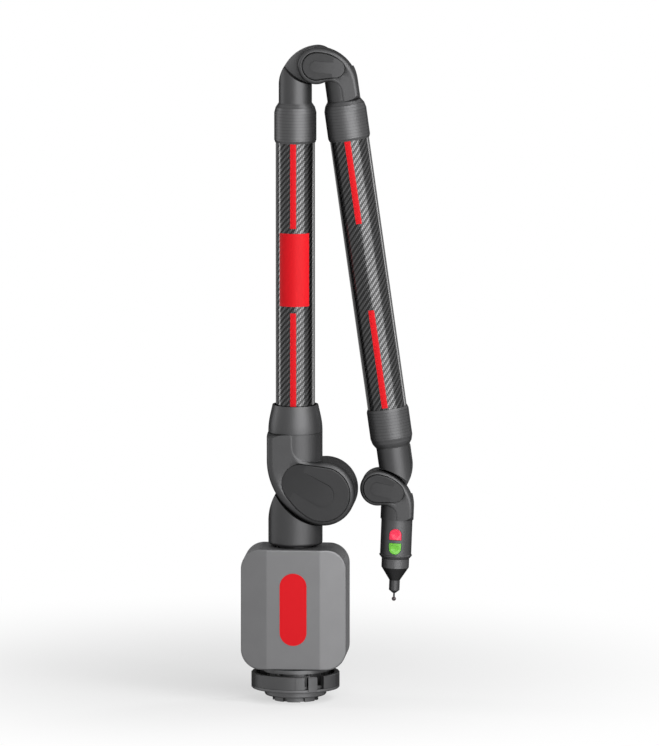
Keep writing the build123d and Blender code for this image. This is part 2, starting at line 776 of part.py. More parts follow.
def make_collar():
    """A tapered collar that turns on the shoulder casting, with a wide mouth around the tube."""
    low = SHOULDER_SEAM + SEAM_GAP
    top = low + COLLAR_LENGTH
    with BuildPart() as collar:
        with BuildSketch(shoulder_line):
            with BuildLine():
                Polyline(
                    (COLLAR_RIM_RADIUS, top), (0, top), (0, low),
                    (SHOULDER_RADIUS, low), (SHOULDER_RADIUS, low + COLLAR_STRAIGHT),
                )
                Spline(
                    (SHOULDER_RADIUS, low + COLLAR_STRAIGHT), (COLLAR_RIM_RADIUS, top),
                    tangents=((0, 1), (-COLLAR_RIM_SLOPE, 1)),
                )
            make_face()
        revolve(axis=tube_axis(shoulder_line))
        with BuildSketch(cross_plane(shoulder_line, top)):
            Circle(COLLAR_MOUTH)
        extrude(amount=-COLLAR_MOUTH_DEPTH, mode=Mode.SUBTRACT)
        with BuildSketch(cross_plane(shoulder_line, top)):
            Circle(TUBE_RADIUS + FIT_GAP)
        extrude(amount=-TUBE_SEAT, mode=Mode.SUBTRACT)
        with BuildSketch(cross_plane(shoulder_line, low)):
            Circle(SHOULDER_ROLL_SHAFT + FIT_GAP)
        extrude(amount=SHAFT_SEAT, mode=Mode.SUBTRACT)
    return collar.part


def sleeve_outline(low):
    """Two cones up to the full width, and a narrower lip at the end, as (radius, height)."""
    end = low + SLEEVE_LENGTH
    return (
        (0, low), (ELBOW_RADIUS, low), (SLEEVE_CREASE_RADIUS, low + SLEEVE_CREASE),
        (SLEEVE_RADIUS, low + SLEEVE_CONE), (SLEEVE_RADIUS, end - SLEEVE_LIP),
        (SLEEVE_RADIUS - SLEEVE_LIP_STEP, end), (0, end),
    )


def make_sleeve(hinge, side, gap, bore, bore_depth):
    """A sleeve beyond a casting's seam, bored for a shaft or spigot and for the tube."""
    line = tube_plane(hinge, side)
    low = hinge.seam + gap
    with BuildPart() as sleeve:
        add(turned(line, sleeve_outline(low)))
        with BuildSketch(cross_plane(line, low)):
            Circle(bore + FIT_GAP)
        extrude(amount=bore_depth, mode=Mode.SUBTRACT)
        with BuildSketch(cross_plane(line, low + SLEEVE_LENGTH)):
            Circle(TUBE_RADIUS + FIT_GAP)
        extrude(amount=-TUBE_SEAT, mode=Mode.SUBTRACT)
    return sleeve.part


def make_tube(line, start, end):
    with BuildPart() as tube:
        with BuildSketch(cross_plane(line, start)):
            Circle(TUBE_RADIUS)
            Circle(TUBE_RADIUS - TUBE_WALL, mode=Mode.SUBTRACT)
        extrude(amount=end - start)
    return tube.part


# Handle and probe

HANDLE_END = HANDLE_SEAM + HANDLE_LENGTH
RING_END = HANDLE_END + PROBE_RING_LENGTH
NOSE_END = RING_END + NOSE_LENGTH
HOLDER_END = NOSE_END + HOLDER_LENGTH
HOLDER_TIP = HOLDER_END + HOLDER_TIP_LENGTH
RED_TOP = HANDLE_SEAM + BUTTON_TOP
GREEN_TOP = RED_TOP + BUTTON_HEIGHT + BUTTON_BAR
GREEN_END = GREEN_TOP + BUTTON_HEIGHT


def button_edges(rounded_end, square_end, grow):
    """One round end and one square end, across the handle's front."""
    half = BUTTON_WIDTH / 2 + grow
    way = 1 if square_end > rounded_end else -1
    centre = rounded_end + way * BUTTON_WIDTH / 2
    square = square_end + way * grow
    CenterArc((0, centre), half, 180 if way > 0 else 0, 180)
    Polyline((-half, centre), (-half, square), (half, square), (half, centre))


def make_handle_body():
    with BuildPart() as body:
        with BuildSketch(cross_plane(handle_line, HANDLE_SEAM)):
            Circle(HANDLE_RADIUS)
            Circle(HANDLE_RADIUS - HANDLE_WALL, mode=Mode.SUBTRACT)
        extrude(amount=HANDLE_LENGTH)
        for rounded_end, square_end in ((RED_TOP, RED_TOP + BUTTON_HEIGHT), (GREEN_END, GREEN_TOP)):
            with BuildSketch(handle_line):
                with BuildLine():
                    button_edges(rounded_end, square_end, SLIDE_GAP)
                make_face()
            extrude(amount=2 * HANDLE_RADIUS, mode=Mode.SUBTRACT)
    return body.part


def make_button(rounded_end, square_end):
    """A button whose face follows the round handle and stands a little proud of it."""
    with BuildPart() as button:
        with BuildSketch(handle_line.offset(BUTTON_BACK)):
            with BuildLine():
                button_edges(rounded_end, square_end, 0)
            make_face()
        extrude(amount=HANDLE_RADIUS)
        with BuildSketch(cross_plane(handle_line, HANDLE_SEAM)):
            Circle(HANDLE_RADIUS + BUTTON_PROUD)
        extrude(amount=HANDLE_LENGTH, mode=Mode.INTERSECT)
        front = button.faces().sort_by(Axis(handle_line.origin, handle_line.z_dir))[-1]
        fillet(front.edges(), BUTTON_EDGE)
    return button.part


def make_handle_board():
    """The switch board, which slides in from below and rests against the inside of the body."""
    start = HANDLE_SEAM + SWITCH_BOARD_MARGIN
    length = HANDLE_LENGTH - 2 * SWITCH_BOARD_MARGIN
    switches = (RED_TOP + BUTTON_HEIGHT / 2, GREEN_TOP + BUTTON_HEIGHT / 2)
    with BuildPart() as board:
        with BuildSketch(handle_line.offset(SWITCH_BOARD_FRONT - BOARD_THICKNESS)):
            with Locations((0, start)):
                Rectangle(SWITCH_BOARD_WIDTH, length, align=(Align.CENTER, Align.MIN))
        extrude(amount=BOARD_THICKNESS)
        with BuildSketch(handle_line.offset(SWITCH_BOARD_FRONT)):
            with Locations(*[(0, height) for height in switches]):
                Circle(SWITCH_RADIUS)
        extrude(amount=SWITCH_HEIGHT)
    return board.part


def make_probe_ring():
    """The flared ring at the handle's end, bored for the probe's shank."""
    flare = PROBE_RING_RADIUS - HANDLE_RADIUS
    outline = (
        (HOLDER_SHANK + FIT_GAP, HANDLE_END), (HANDLE_RADIUS, HANDLE_END),
        (PROBE_RING_RADIUS, HANDLE_END + flare), (PROBE_RING_RADIUS, HANDLE_END + 2 * flare),
        (NOSE_RADIUS, RING_END), (HOLDER_SHANK + FIT_GAP, RING_END),
    )
    return turned(handle_line, outline)


def make_probe_nose():
    """Straight under the ring, then a cone down to the stylus holder."""
    bore = HOLDER_SHANK + FIT_GAP
    outline = (
        (bore, RING_END), (NOSE_RADIUS, RING_END), (NOSE_RADIUS, RING_END + NOSE_STRAIGHT),
        (HOLDER_RADIUS, NOSE_END), (bore, NOSE_END),
    )
    return turned(handle_line, outline)


def make_probe_holder():
    """The stylus holder, with a shank up through the nose and a bored tip."""
    bore = STYLUS_RADIUS + FIT_GAP
    outline = (
        (0, NOSE_END - HOLDER_SHANK_LENGTH), (HOLDER_SHANK, NOSE_END - HOLDER_SHANK_LENGTH),
        (HOLDER_SHANK, NOSE_END), (HOLDER_RADIUS, NOSE_END), (HOLDER_RADIUS, HOLDER_END),
        (HOLDER_TIP_RADIUS, HOLDER_TIP), (bore, HOLDER_TIP), (bore, HOLDER_TIP - STYLUS_SEAT),
        (0, HOLDER_TIP - STYLUS_SEAT),
    )
    return turned(handle_line, outline)


def make_stylus_stem():
    start = HOLDER_TIP - STYLUS_SEAT
    with BuildPart() as stem:
        with BuildSketch(cross_plane(handle_line, start)):
            Circle(STYLUS_RADIUS)
        extrude(amount=PROBE_LENGTH - BALL_RADIUS + BALL_SEAT - start)
    return stem.part


def make_stylus_ball():
    with BuildPart() as ball:
        with BuildSketch(handle_line):
            with BuildLine():
                CenterArc((0, PROBE_LENGTH), BALL_RADIUS, -90, 180)
                Line((0, PROBE_LENGTH + BALL_RADIUS), (0, PROBE_LENGTH - BALL_RADIUS))
            make_face()
        revolve(axis=tube_axis(handle_line))
        with BuildSketch(cross_plane(handle_line, PROBE_LENGTH - 2 * BALL_RADIUS)):
            Circle(STYLUS_RADIUS + FIT_GAP)
        extrude(amount=BALL_RADIUS + BALL_SEAT, mode=Mode.SUBTRACT)
    return ball.part


# Housing

HOUSING_FRONT = -HOUSING_DEPTH / 2
HOUSING_BACK = HOUSING_DEPTH / 2
FLOOR_TOP = HOUSING_BOTTOM + HOUSING_FLOOR
CEILING = HOUSING_TOP - HOUSING_WALL
HOUSING_MIDDLE = (HOUSING_BOTTOM + HOUSING_TOP) / 2
BOSS_RISE = HOUSING_HEIGHT / 2 - HOUSING_BOSS_LIFT
HOUSING_BOSSES = [
    (x, HOUSING_MIDDLE + rise) for rise in (-BOSS_RISE, BOSS_RISE) for x in (-HOUSING_BOSS_X, HOUSING_BOSS_X)
]
PANEL_OUT = HOUSING_BACK + PANEL_THICKNESS - HOUSING_WALL / 2
front_up = Plane(origin=(0, 0, 0), x_dir=(1, 0, 0), z_dir=(0, -1, 0))


def outer_edges(faces):
    """The edges that only one of the faces has, which run round all of them."""
    edges = faces.edges()
    centres = [edge.center() for edge in edges]
    return ShapeList(
        edge for edge, centre in zip(edges, centres)
        if sum((centre - other).length < FIT_GAP for other in centres) == 1
    )


def make_form(wall, floor):
    """The housing's form, or the space inside it: a bent front, flat sides and a rounded back."""
    half = HOUSING_WIDTH / 2 - wall
    front = HOUSING_FRONT + wall
    back = HOUSING_BACK - wall
    height = HOUSING_HEIGHT - wall - floor
    with BuildPart() as form:
        with BuildSketch(Plane.XY.offset(HOUSING_BOTTOM)) as plan:
            with BuildLine():
                Polyline(
                    (-HOUSING_PANEL / 2, front), (HOUSING_PANEL / 2, front), (half, front + HOUSING_SET_BACK),
                    (half, back), (-half, back), (-half, front + HOUSING_SET_BACK), close=True,
                )
            make_face()
            fillet(plan.vertices().group_by(Axis.Y)[0], HOUSING_BEND)
        extrude(amount=HOUSING_HEIGHT)
        with BuildSketch(front_up):
            with Locations((0, HOUSING_BOTTOM + floor + height / 2)):
                RectangleRounded(2 * half, height, HOUSING_CORNER - wall)
        extrude(amount=HOUSING_DEPTH, both=True, mode=Mode.INTERSECT)
        if wall:
            chamfer(form.faces().sort_by(Axis.Y)[-1].edges(), HOUSING_BACK_EDGE - wall)
        else:
            front_faces = form.faces().filter_by(lambda face: face.normal_at().Y < FACING_FRONT)
            fillet(outer_edges(front_faces), HOUSING_FRONT_EDGE)
            fillet(form.faces().sort_by(Axis.Y)[-1].edges(), HOUSING_BACK_EDGE)
    return form.part


def make_housing():
    """The whole shell with its openings and screw bosses, before it is split into front and rear."""
    inside = make_form(HOUSING_WALL, HOUSING_FLOOR)
    with BuildPart() as bosses:
        with BuildSketch(front_up):
            with Locations(*HOUSING_BOSSES):
                Circle(HOUSING_BOSS)
        extrude(amount=HOUSING_DEPTH, both=True)
        add(inside, mode=Mode.INTERSECT)
    with BuildPart() as shell:
        add(make_form(0, 0))
        add(inside, mode=Mode.SUBTRACT)
        add(bosses.part)
        with BuildSketch(front_up.offset(-HOUSING_BACK)):
            with Locations(*HOUSING_BOSSES):
                Circle(SCREW_RADIUS + FIT_GAP)
        extrude(amount=HOUSING_SCREW_LENGTH + HOUSING_SCREW_SINK, mode=Mode.SUBTRACT)
        with BuildSketch(front_up.offset(-HOUSING_BACK)):
            with Locations(*HOUSING_BOSSES):
                Circle(SCREW_HEAD_RADIUS + SEAM_GAP)
        extrude(amount=HOUSING_SCREW_SINK, mode=Mode.SUBTRACT)
        with BuildSketch(Plane.XY.offset(CEILING)):
            Circle(HOUSING_MOUTH)
        extrude(amount=2 * HOUSING_WALL, mode=Mode.SUBTRACT)
        with BuildSketch(Plane.XY.offset(HOUSING_BOTTOM)):
            with PolarLocations(HUB_SCREW_CIRCLE, HUB_SCREWS):
                Circle(SCREW_RADIUS + FIT_GAP)
        extrude(amount=HOUSING_FLOOR, mode=Mode.SUBTRACT)
    return shell.part


def make_housing_front(shell):
    posts = (BOARD_WIDTH / 2 - BOARD_POST_INSET, BOARD_HEIGHT / 2 - BOARD_POST_INSET)
    with BuildPart() as front:
        add(shell)
        split(bisect_by=Plane.XZ.offset(-HOUSING_SPLIT), keep=Keep.TOP)
        with BuildSketch(front_up.offset(-HOUSING_FRONT - HOUSING_WALL - BOARD_LIFT)):
            with Locations((0, HOUSING_MIDDLE)):
                with GridLocations(2 * posts[0], 2 * posts[1], 2, 2):
                    Circle(BOARD_POST)
        extrude(amount=BOARD_LIFT)
        with BuildSketch(front_up.offset(-HOUSING_FRONT - BADGE_SINK)):
            with Locations((0, HOUSING_BOTTOM + BADGE_LIFT)):
                SlotOverall(BADGE_HEIGHT + 2 * FIT_GAP, BADGE_WIDTH + 2 * FIT_GAP, rotation=90)
        extrude(amount=HOUSING_WALL, mode=Mode.SUBTRACT)
    return front.part


def make_housing_rear(shell):
    place = (0, HOUSING_BOTTOM + PANEL_LIFT)
    with BuildPart() as rear:
        add(shell)
        split(bisect_by=Plane.XZ.offset(-HOUSING_SPLIT), keep=Keep.BOTTOM)
        with BuildSketch(front_up.offset(-HOUSING_BACK)):
            with Locations(place):
                RectangleRounded(PANEL_WIDTH + 2 * FIT_GAP, PANEL_HEIGHT + 2 * FIT_GAP, PANEL_CORNER)
        extrude(amount=HOUSING_WALL / 2, mode=Mode.SUBTRACT)
        with BuildSketch(front_up.offset(-HOUSING_BACK)):
            with Locations(place):
                Rectangle(PANEL_WIDTH - 2 * PANEL_WINDOW_MARGIN, PANEL_HEIGHT - 2 * PANEL_WINDOW_MARGIN)
        extrude(amount=2 * HOUSING_WALL, mode=Mode.SUBTRACT)
    return rear.part


def make_housing_screws():
    head = front_up.offset(HOUSING_SCREW_SINK - HOUSING_BACK)
    with BuildPart() as screws:
        with BuildSketch(head):
            with Locations(*HOUSING_BOSSES):
                Circle(SCREW_RADIUS)
        extrude(amount=HOUSING_SCREW_LENGTH)
        with BuildSketch(head):
            with Locations(*HOUSING_BOSSES):
                Circle(SCREW_HEAD_RADIUS)
        extrude(amount=-SCREW_HEAD_HEIGHT)
        with BuildSketch(head.offset(-SCREW_HEAD_HEIGHT)):
            with Locations(*HOUSING_BOSSES):
                RegularPolygon(SCREW_SOCKET, 6)
        extrude(amount=SCREW_HEAD_HEIGHT / 2, mode=Mode.SUBTRACT)
    return screws.part


def make_badge():
    """The bare raised plate on the housing's front."""
    with BuildPart() as badge:
        with BuildSketch(front_up.offset(-HOUSING_FRONT - BADGE_SINK)):
            with Locations((0, HOUSING_BOTTOM + BADGE_LIFT)):
                SlotOverall(BADGE_HEIGHT, BADGE_WIDTH, rotation=90)
        extrude(amount=BADGE_THICKNESS)
    return badge.part


def make_barrel():
    """The bearing housing, from the floor to the ceiling."""
    with BuildPart() as barrel:
        with BuildSketch(Plane.XY.offset(FLOOR_TOP)):
            Circle(BARREL_RADIUS)
            Circle(BARREL_BORE, mode=Mode.SUBTRACT)
        extrude(amount=CEILING - FLOOR_TOP)
    return barrel.part


def make_neck_spindle():
    flange_bottom = NECK_BOTTOM - SPINDLE_FLANGE_HEIGHT
    shoulder = FLOOR_TOP + BASE_BEARING_INSET
    outline = (
        (0, FLOOR_TOP + SEAM_GAP), (SPINDLE_STUB, FLOOR_TOP + SEAM_GAP), (SPINDLE_STUB, shoulder),
        (SPINDLE_RADIUS, shoulder), (SPINDLE_RADIUS, flange_bottom), (SPINDLE_FLANGE, flange_bottom),
        (SPINDLE_FLANGE, NECK_BOTTOM), (0, NECK_BOTTOM),
    )
    return turned(front_up, outline)


def make_base_bearings():
    low = FLOOR_TOP + BASE_BEARING_INSET
    high = CEILING - BASE_BEARING_INSET - BASE_BEARING_WIDTH
    return bearings(Plane.XY, SPINDLE_RADIUS, BARREL_BORE, (low, high), BASE_BEARING_WIDTH)


def make_read_head():
    """The block that reads the disc from below, inside the bearing housing."""
    with BuildPart() as head:
        with BuildSketch(Plane.XY.offset(FLOOR_TOP)):
            with Locations((BASE_ENCODER_RADIUS - READ_HEAD_WIDTH / 3, 0)):
                Rectangle(READ_HEAD_WIDTH, READ_HEAD_WIDTH)
        extrude(amount=READ_HEAD_HEIGHT)
        chamfer(head.edges().group_by(Axis.Z)[-1], SEAM_GAP)
    return head.part


def make_control_board():
    back = -HOUSING_FRONT - HOUSING_WALL - BOARD_LIFT - BOARD_THICKNESS
    with BuildPart() as board:
        with BuildSketch(front_up.offset(back)):
            with Locations((0, HOUSING_MIDDLE)):
                Rectangle(BOARD_WIDTH, BOARD_HEIGHT)
        extrude(amount=BOARD_THICKNESS)
        with BuildSketch(front_up.offset(back)):
            with Locations((0, HOUSING_MIDDLE)):
                with GridLocations(0, 2 * CHIP_WIDTH, 1, CHIP_COUNT):
                    Rectangle(CHIP_WIDTH, CHIP_WIDTH)
        extrude(amount=-CHIP_HEIGHT)
    return board.part


def make_battery():
    front = BARREL_RADIUS + BATTERY_GAP
    back = HOUSING_BACK - HOUSING_WALL - BATTERY_GAP
    with BuildPart() as battery:
        with BuildSketch(front_up.offset(-back)):
            with Locations((0, HOUSING_BOTTOM + BATTERY_LIFT + BATTERY_HEIGHT / 2)):
                RectangleRounded(BATTERY_WIDTH, BATTERY_HEIGHT, 2 * BATTERY_EDGE)
        extrude(amount=back - front)
        chamfer(battery.edges().group_by(Axis.Y)[-1], BATTERY_EDGE)
    return battery.part


def make_rear_panel():
    """The plate over the connectors, let into the back of the housing."""
    height = HOUSING_BOTTOM + PANEL_LIFT
    plug = (PORT_COVER_WIDTH - 2 * PORT_PLUG_MARGIN, PORT_COVER_HEIGHT - 2 * PORT_PLUG_MARGIN)
    with BuildPart() as panel:
        with BuildSketch(front_up.offset(-PANEL_OUT)):
            with Locations((0, height)):
                RectangleRounded(PANEL_WIDTH, PANEL_HEIGHT, PANEL_CORNER)
            with Locations((PORT_COVER_X, height)):
                Rectangle(plug[0] + 2 * FIT_GAP, plug[1] + 2 * FIT_GAP, mode=Mode.SUBTRACT)
            with Locations((POWER_BUTTON_X, height)):
                Circle(POWER_BUTTON_RADIUS + SLIDE_GAP, mode=Mode.SUBTRACT)
        extrude(amount=PANEL_THICKNESS)
        outer = panel.faces().sort_by(Axis.Y)[-1].outer_wire().edges()
        chamfer(outer, PANEL_THICKNESS / 4)
    return panel.part


def make_port_cover():
    """A soft cover with a plug on its back, pushed into the panel."""
    place = (PORT_COVER_X, HOUSING_BOTTOM + PANEL_LIFT)
    plug = (PORT_COVER_WIDTH - 2 * PORT_PLUG_MARGIN, PORT_COVER_HEIGHT - 2 * PORT_PLUG_MARGIN)
    with BuildPart() as cover:
        with BuildSketch(front_up.offset(-PANEL_OUT)):
            with Locations(place):
                RectangleRounded(PORT_COVER_WIDTH, PORT_COVER_HEIGHT, PORT_COVER_CORNER)
        extrude(amount=-PORT_COVER_PROUD)
        chamfer(cover.edges().group_by(Axis.Y)[-1], PORT_COVER_PROUD / 3)
        with BuildSketch(front_up.offset(-PANEL_OUT)):
            with Locations(place):
                Rectangle(*plug)
        extrude(amount=PANEL_THICKNESS)
    return cover.part


def make_power_button():
    """A round button with a rim behind the panel that keeps it from falling out."""
    place = (POWER_BUTTON_X, HOUSING_BOTTOM + PANEL_LIFT)
    behind = PANEL_THICKNESS + SEAM_GAP
    with BuildPart() as button:
        with BuildSketch(front_up.offset(-PANEL_OUT - POWER_BUTTON_PROUD)):
            with Locations(place):
                Circle(POWER_BUTTON_RADIUS)
        extrude(amount=POWER_BUTTON_PROUD + behind)
        chamfer(button.edges().group_by(Axis.Y)[-1], POWER_BUTTON_PROUD / 3)
        with BuildSketch(front_up.offset(behind - PANEL_OUT)):
            with Locations(place):
                Circle(POWER_BUTTON_RADIUS + POWER_BUTTON_RIM)
        extrude(amount=POWER_BUTTON_RIM)
    return button.part


# All pieces, from the foot up to the elbow and down to the ball

housing = make_housing()
fixed = (0, SPIGOT_RADIUS, SPIGOT_LENGTH + SEAM_GAP)

save(make_foot(), "foot_ring")
save(make_base_plate(), "base_plate")
save(make_lock_ring(), "lock_ring")
save(make_hub(), "hub")
save(make_hub_screws(), "hub_screws")
save(make_housing_front(housing), "housing_front")
save(make_housing_rear(housing), "housing_rear")
save(make_housing_screws(), "housing_screws")
save(make_badge(), "base_badge")
save(make_barrel(), "bearing_housing")
save(make_base_bearings(), "base_bearings")
save(make_read_head(), "base_read_head")
save(make_control_board(), "control_board")
save(make_battery(), "battery_pack")
save(make_rear_panel(), "rear_panel")
save(make_port_cover(), "port_cover")
save(make_power_button(), "power_button")

save(make_neck_spindle(), "neck_spindle")
save(disc(Plane.XY, FLOOR_TOP + BASE_ENCODER_LIFT, BASE_ENCODER_RADIUS, SPINDLE_STUB + FIT_GAP,
          ENCODER_THICKNESS), "base_encoder_disc")
save(make_neck(NECK, neck_side), "neck_casting")
save(make_cap(NECK, neck_side), "neck_cap")
save(make_pin(SHOULDER, neck_side), "shoulder_pin")
save(make_hinge_encoder(SHOULDER, shoulder_side), "shoulder_encoder_disc")

shoulder_casting = make_bearing_casting(SHOULDER, shoulder_side, SHOULDER_ROLL_BEARING, SHOULDER_ROLL_DEPTH)
upper_roll_bearings = make_roll_bearings(
    SHOULDER, shoulder_side, SHOULDER_ROLL_SHAFT, SHOULDER_ROLL_BEARING, SHOULDER_ROLL_DEPTH,
    SHOULDER_ROLL_WIDTH,
)
save(shoulder_casting, "shoulder_casting")
save(make_cap(SHOULDER, shoulder_side), "shoulder_cap")
save(make_hinge_bearings(SHOULDER, shoulder_side), "shoulder_bearings")
save(upper_roll_bearings, "upper_roll_bearings")

collar_top = SHOULDER_SEAM + SEAM_GAP + COLLAR_LENGTH
sleeve_top = ELBOW_SEAM + SLEEVE_LENGTH
upper_tube = make_tube(
    shoulder_line, collar_top - TUBE_SEAT + SEAM_GAP, UPPER_LENGTH - sleeve_top + TUBE_SEAT - SEAM_GAP
)
save(make_roll_shaft(SHOULDER, shoulder_side, SHOULDER_ROLL_SHAFT, SHOULDER_ROLL_DEPTH), "upper_roll_shaft")
save(make_collar(), "upper_collar")
save(upper_tube, "upper_tube")
save(make_sleeve(ELBOW, elbow_back_side, *fixed), "upper_sleeve")
save(make_pin_casting(ELBOW, elbow_back_side, True), "elbow_back_casting")
save(make_cap(ELBOW, elbow_back_side), "elbow_back_cap")
save(make_pin(ELBOW, elbow_back_side), "elbow_pin")
save(make_hinge_encoder(ELBOW, elbow_front_side), "elbow_encoder_disc")

elbow_front_casting = make_bearing_casting(ELBOW, elbow_front_side, ELBOW_ROLL_BEARING, ELBOW_ROLL_DEPTH)
forearm_roll_bearings = make_roll_bearings(
    ELBOW, elbow_front_side, ELBOW_ROLL_SHAFT, ELBOW_ROLL_BEARING, ELBOW_ROLL_DEPTH, ELBOW_ROLL_WIDTH
)
save(elbow_front_casting, "elbow_front_casting")
save(make_cap(ELBOW, elbow_front_side), "elbow_front_cap")
save(make_hinge_bearings(ELBOW, elbow_front_side), "elbow_bearings")
save(forearm_roll_bearings, "forearm_roll_bearings")

forearm_tube = make_tube(
    forearm_line, sleeve_top + SEAM_GAP - TUBE_SEAT + SEAM_GAP,
    FOREARM_LENGTH - sleeve_top + TUBE_SEAT - SEAM_GAP,
)
forearm_top_sleeve = make_sleeve(ELBOW, elbow_front_side, SEAM_GAP, ELBOW_ROLL_SHAFT, SHAFT_SEAT)
save(make_roll_shaft(ELBOW, elbow_front_side, ELBOW_ROLL_SHAFT, ELBOW_ROLL_DEPTH), "forearm_roll_shaft")
save(forearm_top_sleeve, "forearm_top_sleeve")
save(forearm_tube, "forearm_tube")
save(make_sleeve(WRIST, wrist_back_side, *fixed), "forearm_end_sleeve")
save(make_pin_casting(WRIST, wrist_back_side, True), "wrist_back_casting")
save(make_cap(WRIST, wrist_back_side), "wrist_back_cap")
save(make_pin(WRIST, wrist_back_side), "wrist_pin")
save(make_hinge_encoder(WRIST, handle_side), "wrist_encoder_disc")

save(make_bearing_casting(HANDLE, handle_side, 0, 0), "handle_casting")
save(make_cap(HANDLE, handle_side), "handle_cap")
save(make_hinge_bearings(HANDLE, handle_side), "wrist_bearings")
save(make_handle_body(), "handle_body")
save(make_handle_board(), "handle_board")
save(make_button(RED_TOP, RED_TOP + BUTTON_HEIGHT), "red_button")
save(make_button(GREEN_END, GREEN_TOP), "green_button")
save(make_probe_ring(), "probe_ring")
save(make_probe_nose(), "probe_nose")
save(make_probe_holder(), "probe_holder")
save(make_stylus_stem(), "stylus_stem")
save(make_stylus_ball(), "stylus_ball")
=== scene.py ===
import json
from math import asin, cos, pi, radians, sin

import bmesh
import bpy
from mathutils import Matrix, Vector


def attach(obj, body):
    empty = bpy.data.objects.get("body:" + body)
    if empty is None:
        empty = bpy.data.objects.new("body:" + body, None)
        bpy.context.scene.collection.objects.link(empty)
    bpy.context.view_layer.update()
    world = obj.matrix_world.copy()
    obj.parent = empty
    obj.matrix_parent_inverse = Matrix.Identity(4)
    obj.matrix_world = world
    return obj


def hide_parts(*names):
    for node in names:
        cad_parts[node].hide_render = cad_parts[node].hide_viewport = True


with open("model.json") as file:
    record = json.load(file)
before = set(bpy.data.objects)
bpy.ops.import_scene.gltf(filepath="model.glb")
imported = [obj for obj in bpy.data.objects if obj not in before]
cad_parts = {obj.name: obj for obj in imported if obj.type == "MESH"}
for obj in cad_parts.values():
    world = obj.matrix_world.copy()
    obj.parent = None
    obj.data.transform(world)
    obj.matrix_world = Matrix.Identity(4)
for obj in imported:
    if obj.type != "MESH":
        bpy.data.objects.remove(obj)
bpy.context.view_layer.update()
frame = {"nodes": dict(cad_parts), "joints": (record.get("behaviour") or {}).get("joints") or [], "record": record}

# The arm stands parked, in metres. +Z is up, the camera side is -Y, and the base's swivel axis is X = Y = 0.

MM = 0.001
MERGE = 1e-6  # points nearer than this are one
SKIN_LIFT = 0.02 * MM  # how far a thin skin stands off what it lies on

RIGHT = Vector((1, 0, 0))
BACK = Vector((0, 1, 0))
UP = Vector((0, 0, 1))


def linked(name, data):
    """A new object in the scene."""
    made = bpy.data.objects.new(name, data)
    bpy.context.scene.collection.objects.link(made)
    return made


def outwards(azimuth, elevation):
    """A direction away from the arm, from two angles in degrees. Azimuth 0 is on the camera's side."""
    turn, lift = radians(azimuth), radians(elevation)
    return Vector((sin(turn) * cos(lift), -cos(turn) * cos(lift), sin(lift)))


def stand(thing, aim, out, distance):
    """Puts the camera or a lamp out from its aim, facing it."""
    thing.location = aim + out * distance
    thing.rotation_euler = (-out).to_track_quat("-Z", "Y").to_euler()


# Camera, at the photograph's angle

CAMERA_OUT = outwards(4.3, 8.0)
CAMERA_DISTANCE = 20.0
CAMERA_REACH = 100.0
VIEW_HEIGHT = 994.7 * MM  # of the picture, at the arm
SENSOR = 36.0
CAMERA_AIM = Vector((45.6, 0.0, 440.6)) * MM


def make_camera():
    data = bpy.data.cameras.new("camera")
    data.sensor_width = SENSOR
    data.lens = SENSOR * CAMERA_DISTANCE / VIEW_HEIGHT
    data.clip_end = CAMERA_REACH
    camera = linked("camera", data)
    stand(camera, CAMERA_AIM, CAMERA_OUT, CAMERA_DISTANCE)
    bpy.context.scene.camera = camera


make_camera()

# Axes of the tubes and the handle, from the joints

HANDLE_LEAN = radians(2.2)
WRIST_OFFSET = 26.4 * MM  # from the wrist hinge to the handle's axis
TUBE_RADIUS = 26.25 * MM
HANDLE_RADIUS = 20.85 * MM

joints = {joint["name"]: joint for joint in frame["joints"]}


def joint_point(name):
    return Vector(joints[name]["pos_m"])


def axis_frame(point, up):
    """A frame with its origin on an axis, Z along it and -Y still to the front."""
    across = BACK.cross(up).normalized()
    turn = Matrix((across, up.cross(across), up)).transposed().to_4x4()
    return Matrix.Translation(point) @ turn


forearm_up = Vector(joints["forearm_roll"]["axis"]).normalized()
wrist_point = joint_point("wrist_hinge")
handle_down = Vector((-sin(HANDLE_LEAN), 0, -cos(HANDLE_LEAN)))
handle_right = Vector((-handle_down.z, 0, handle_down.x))
handle_point = wrist_point + WRIST_OFFSET * handle_right

UPPER_FRAME = axis_frame(Vector((0, 0, 0)), UP)
FOREARM_FRAME = axis_frame(joint_point("forearm_roll"), forearm_up)
HANDLE_FRAME = axis_frame(handle_point, -handle_down)

# Materials


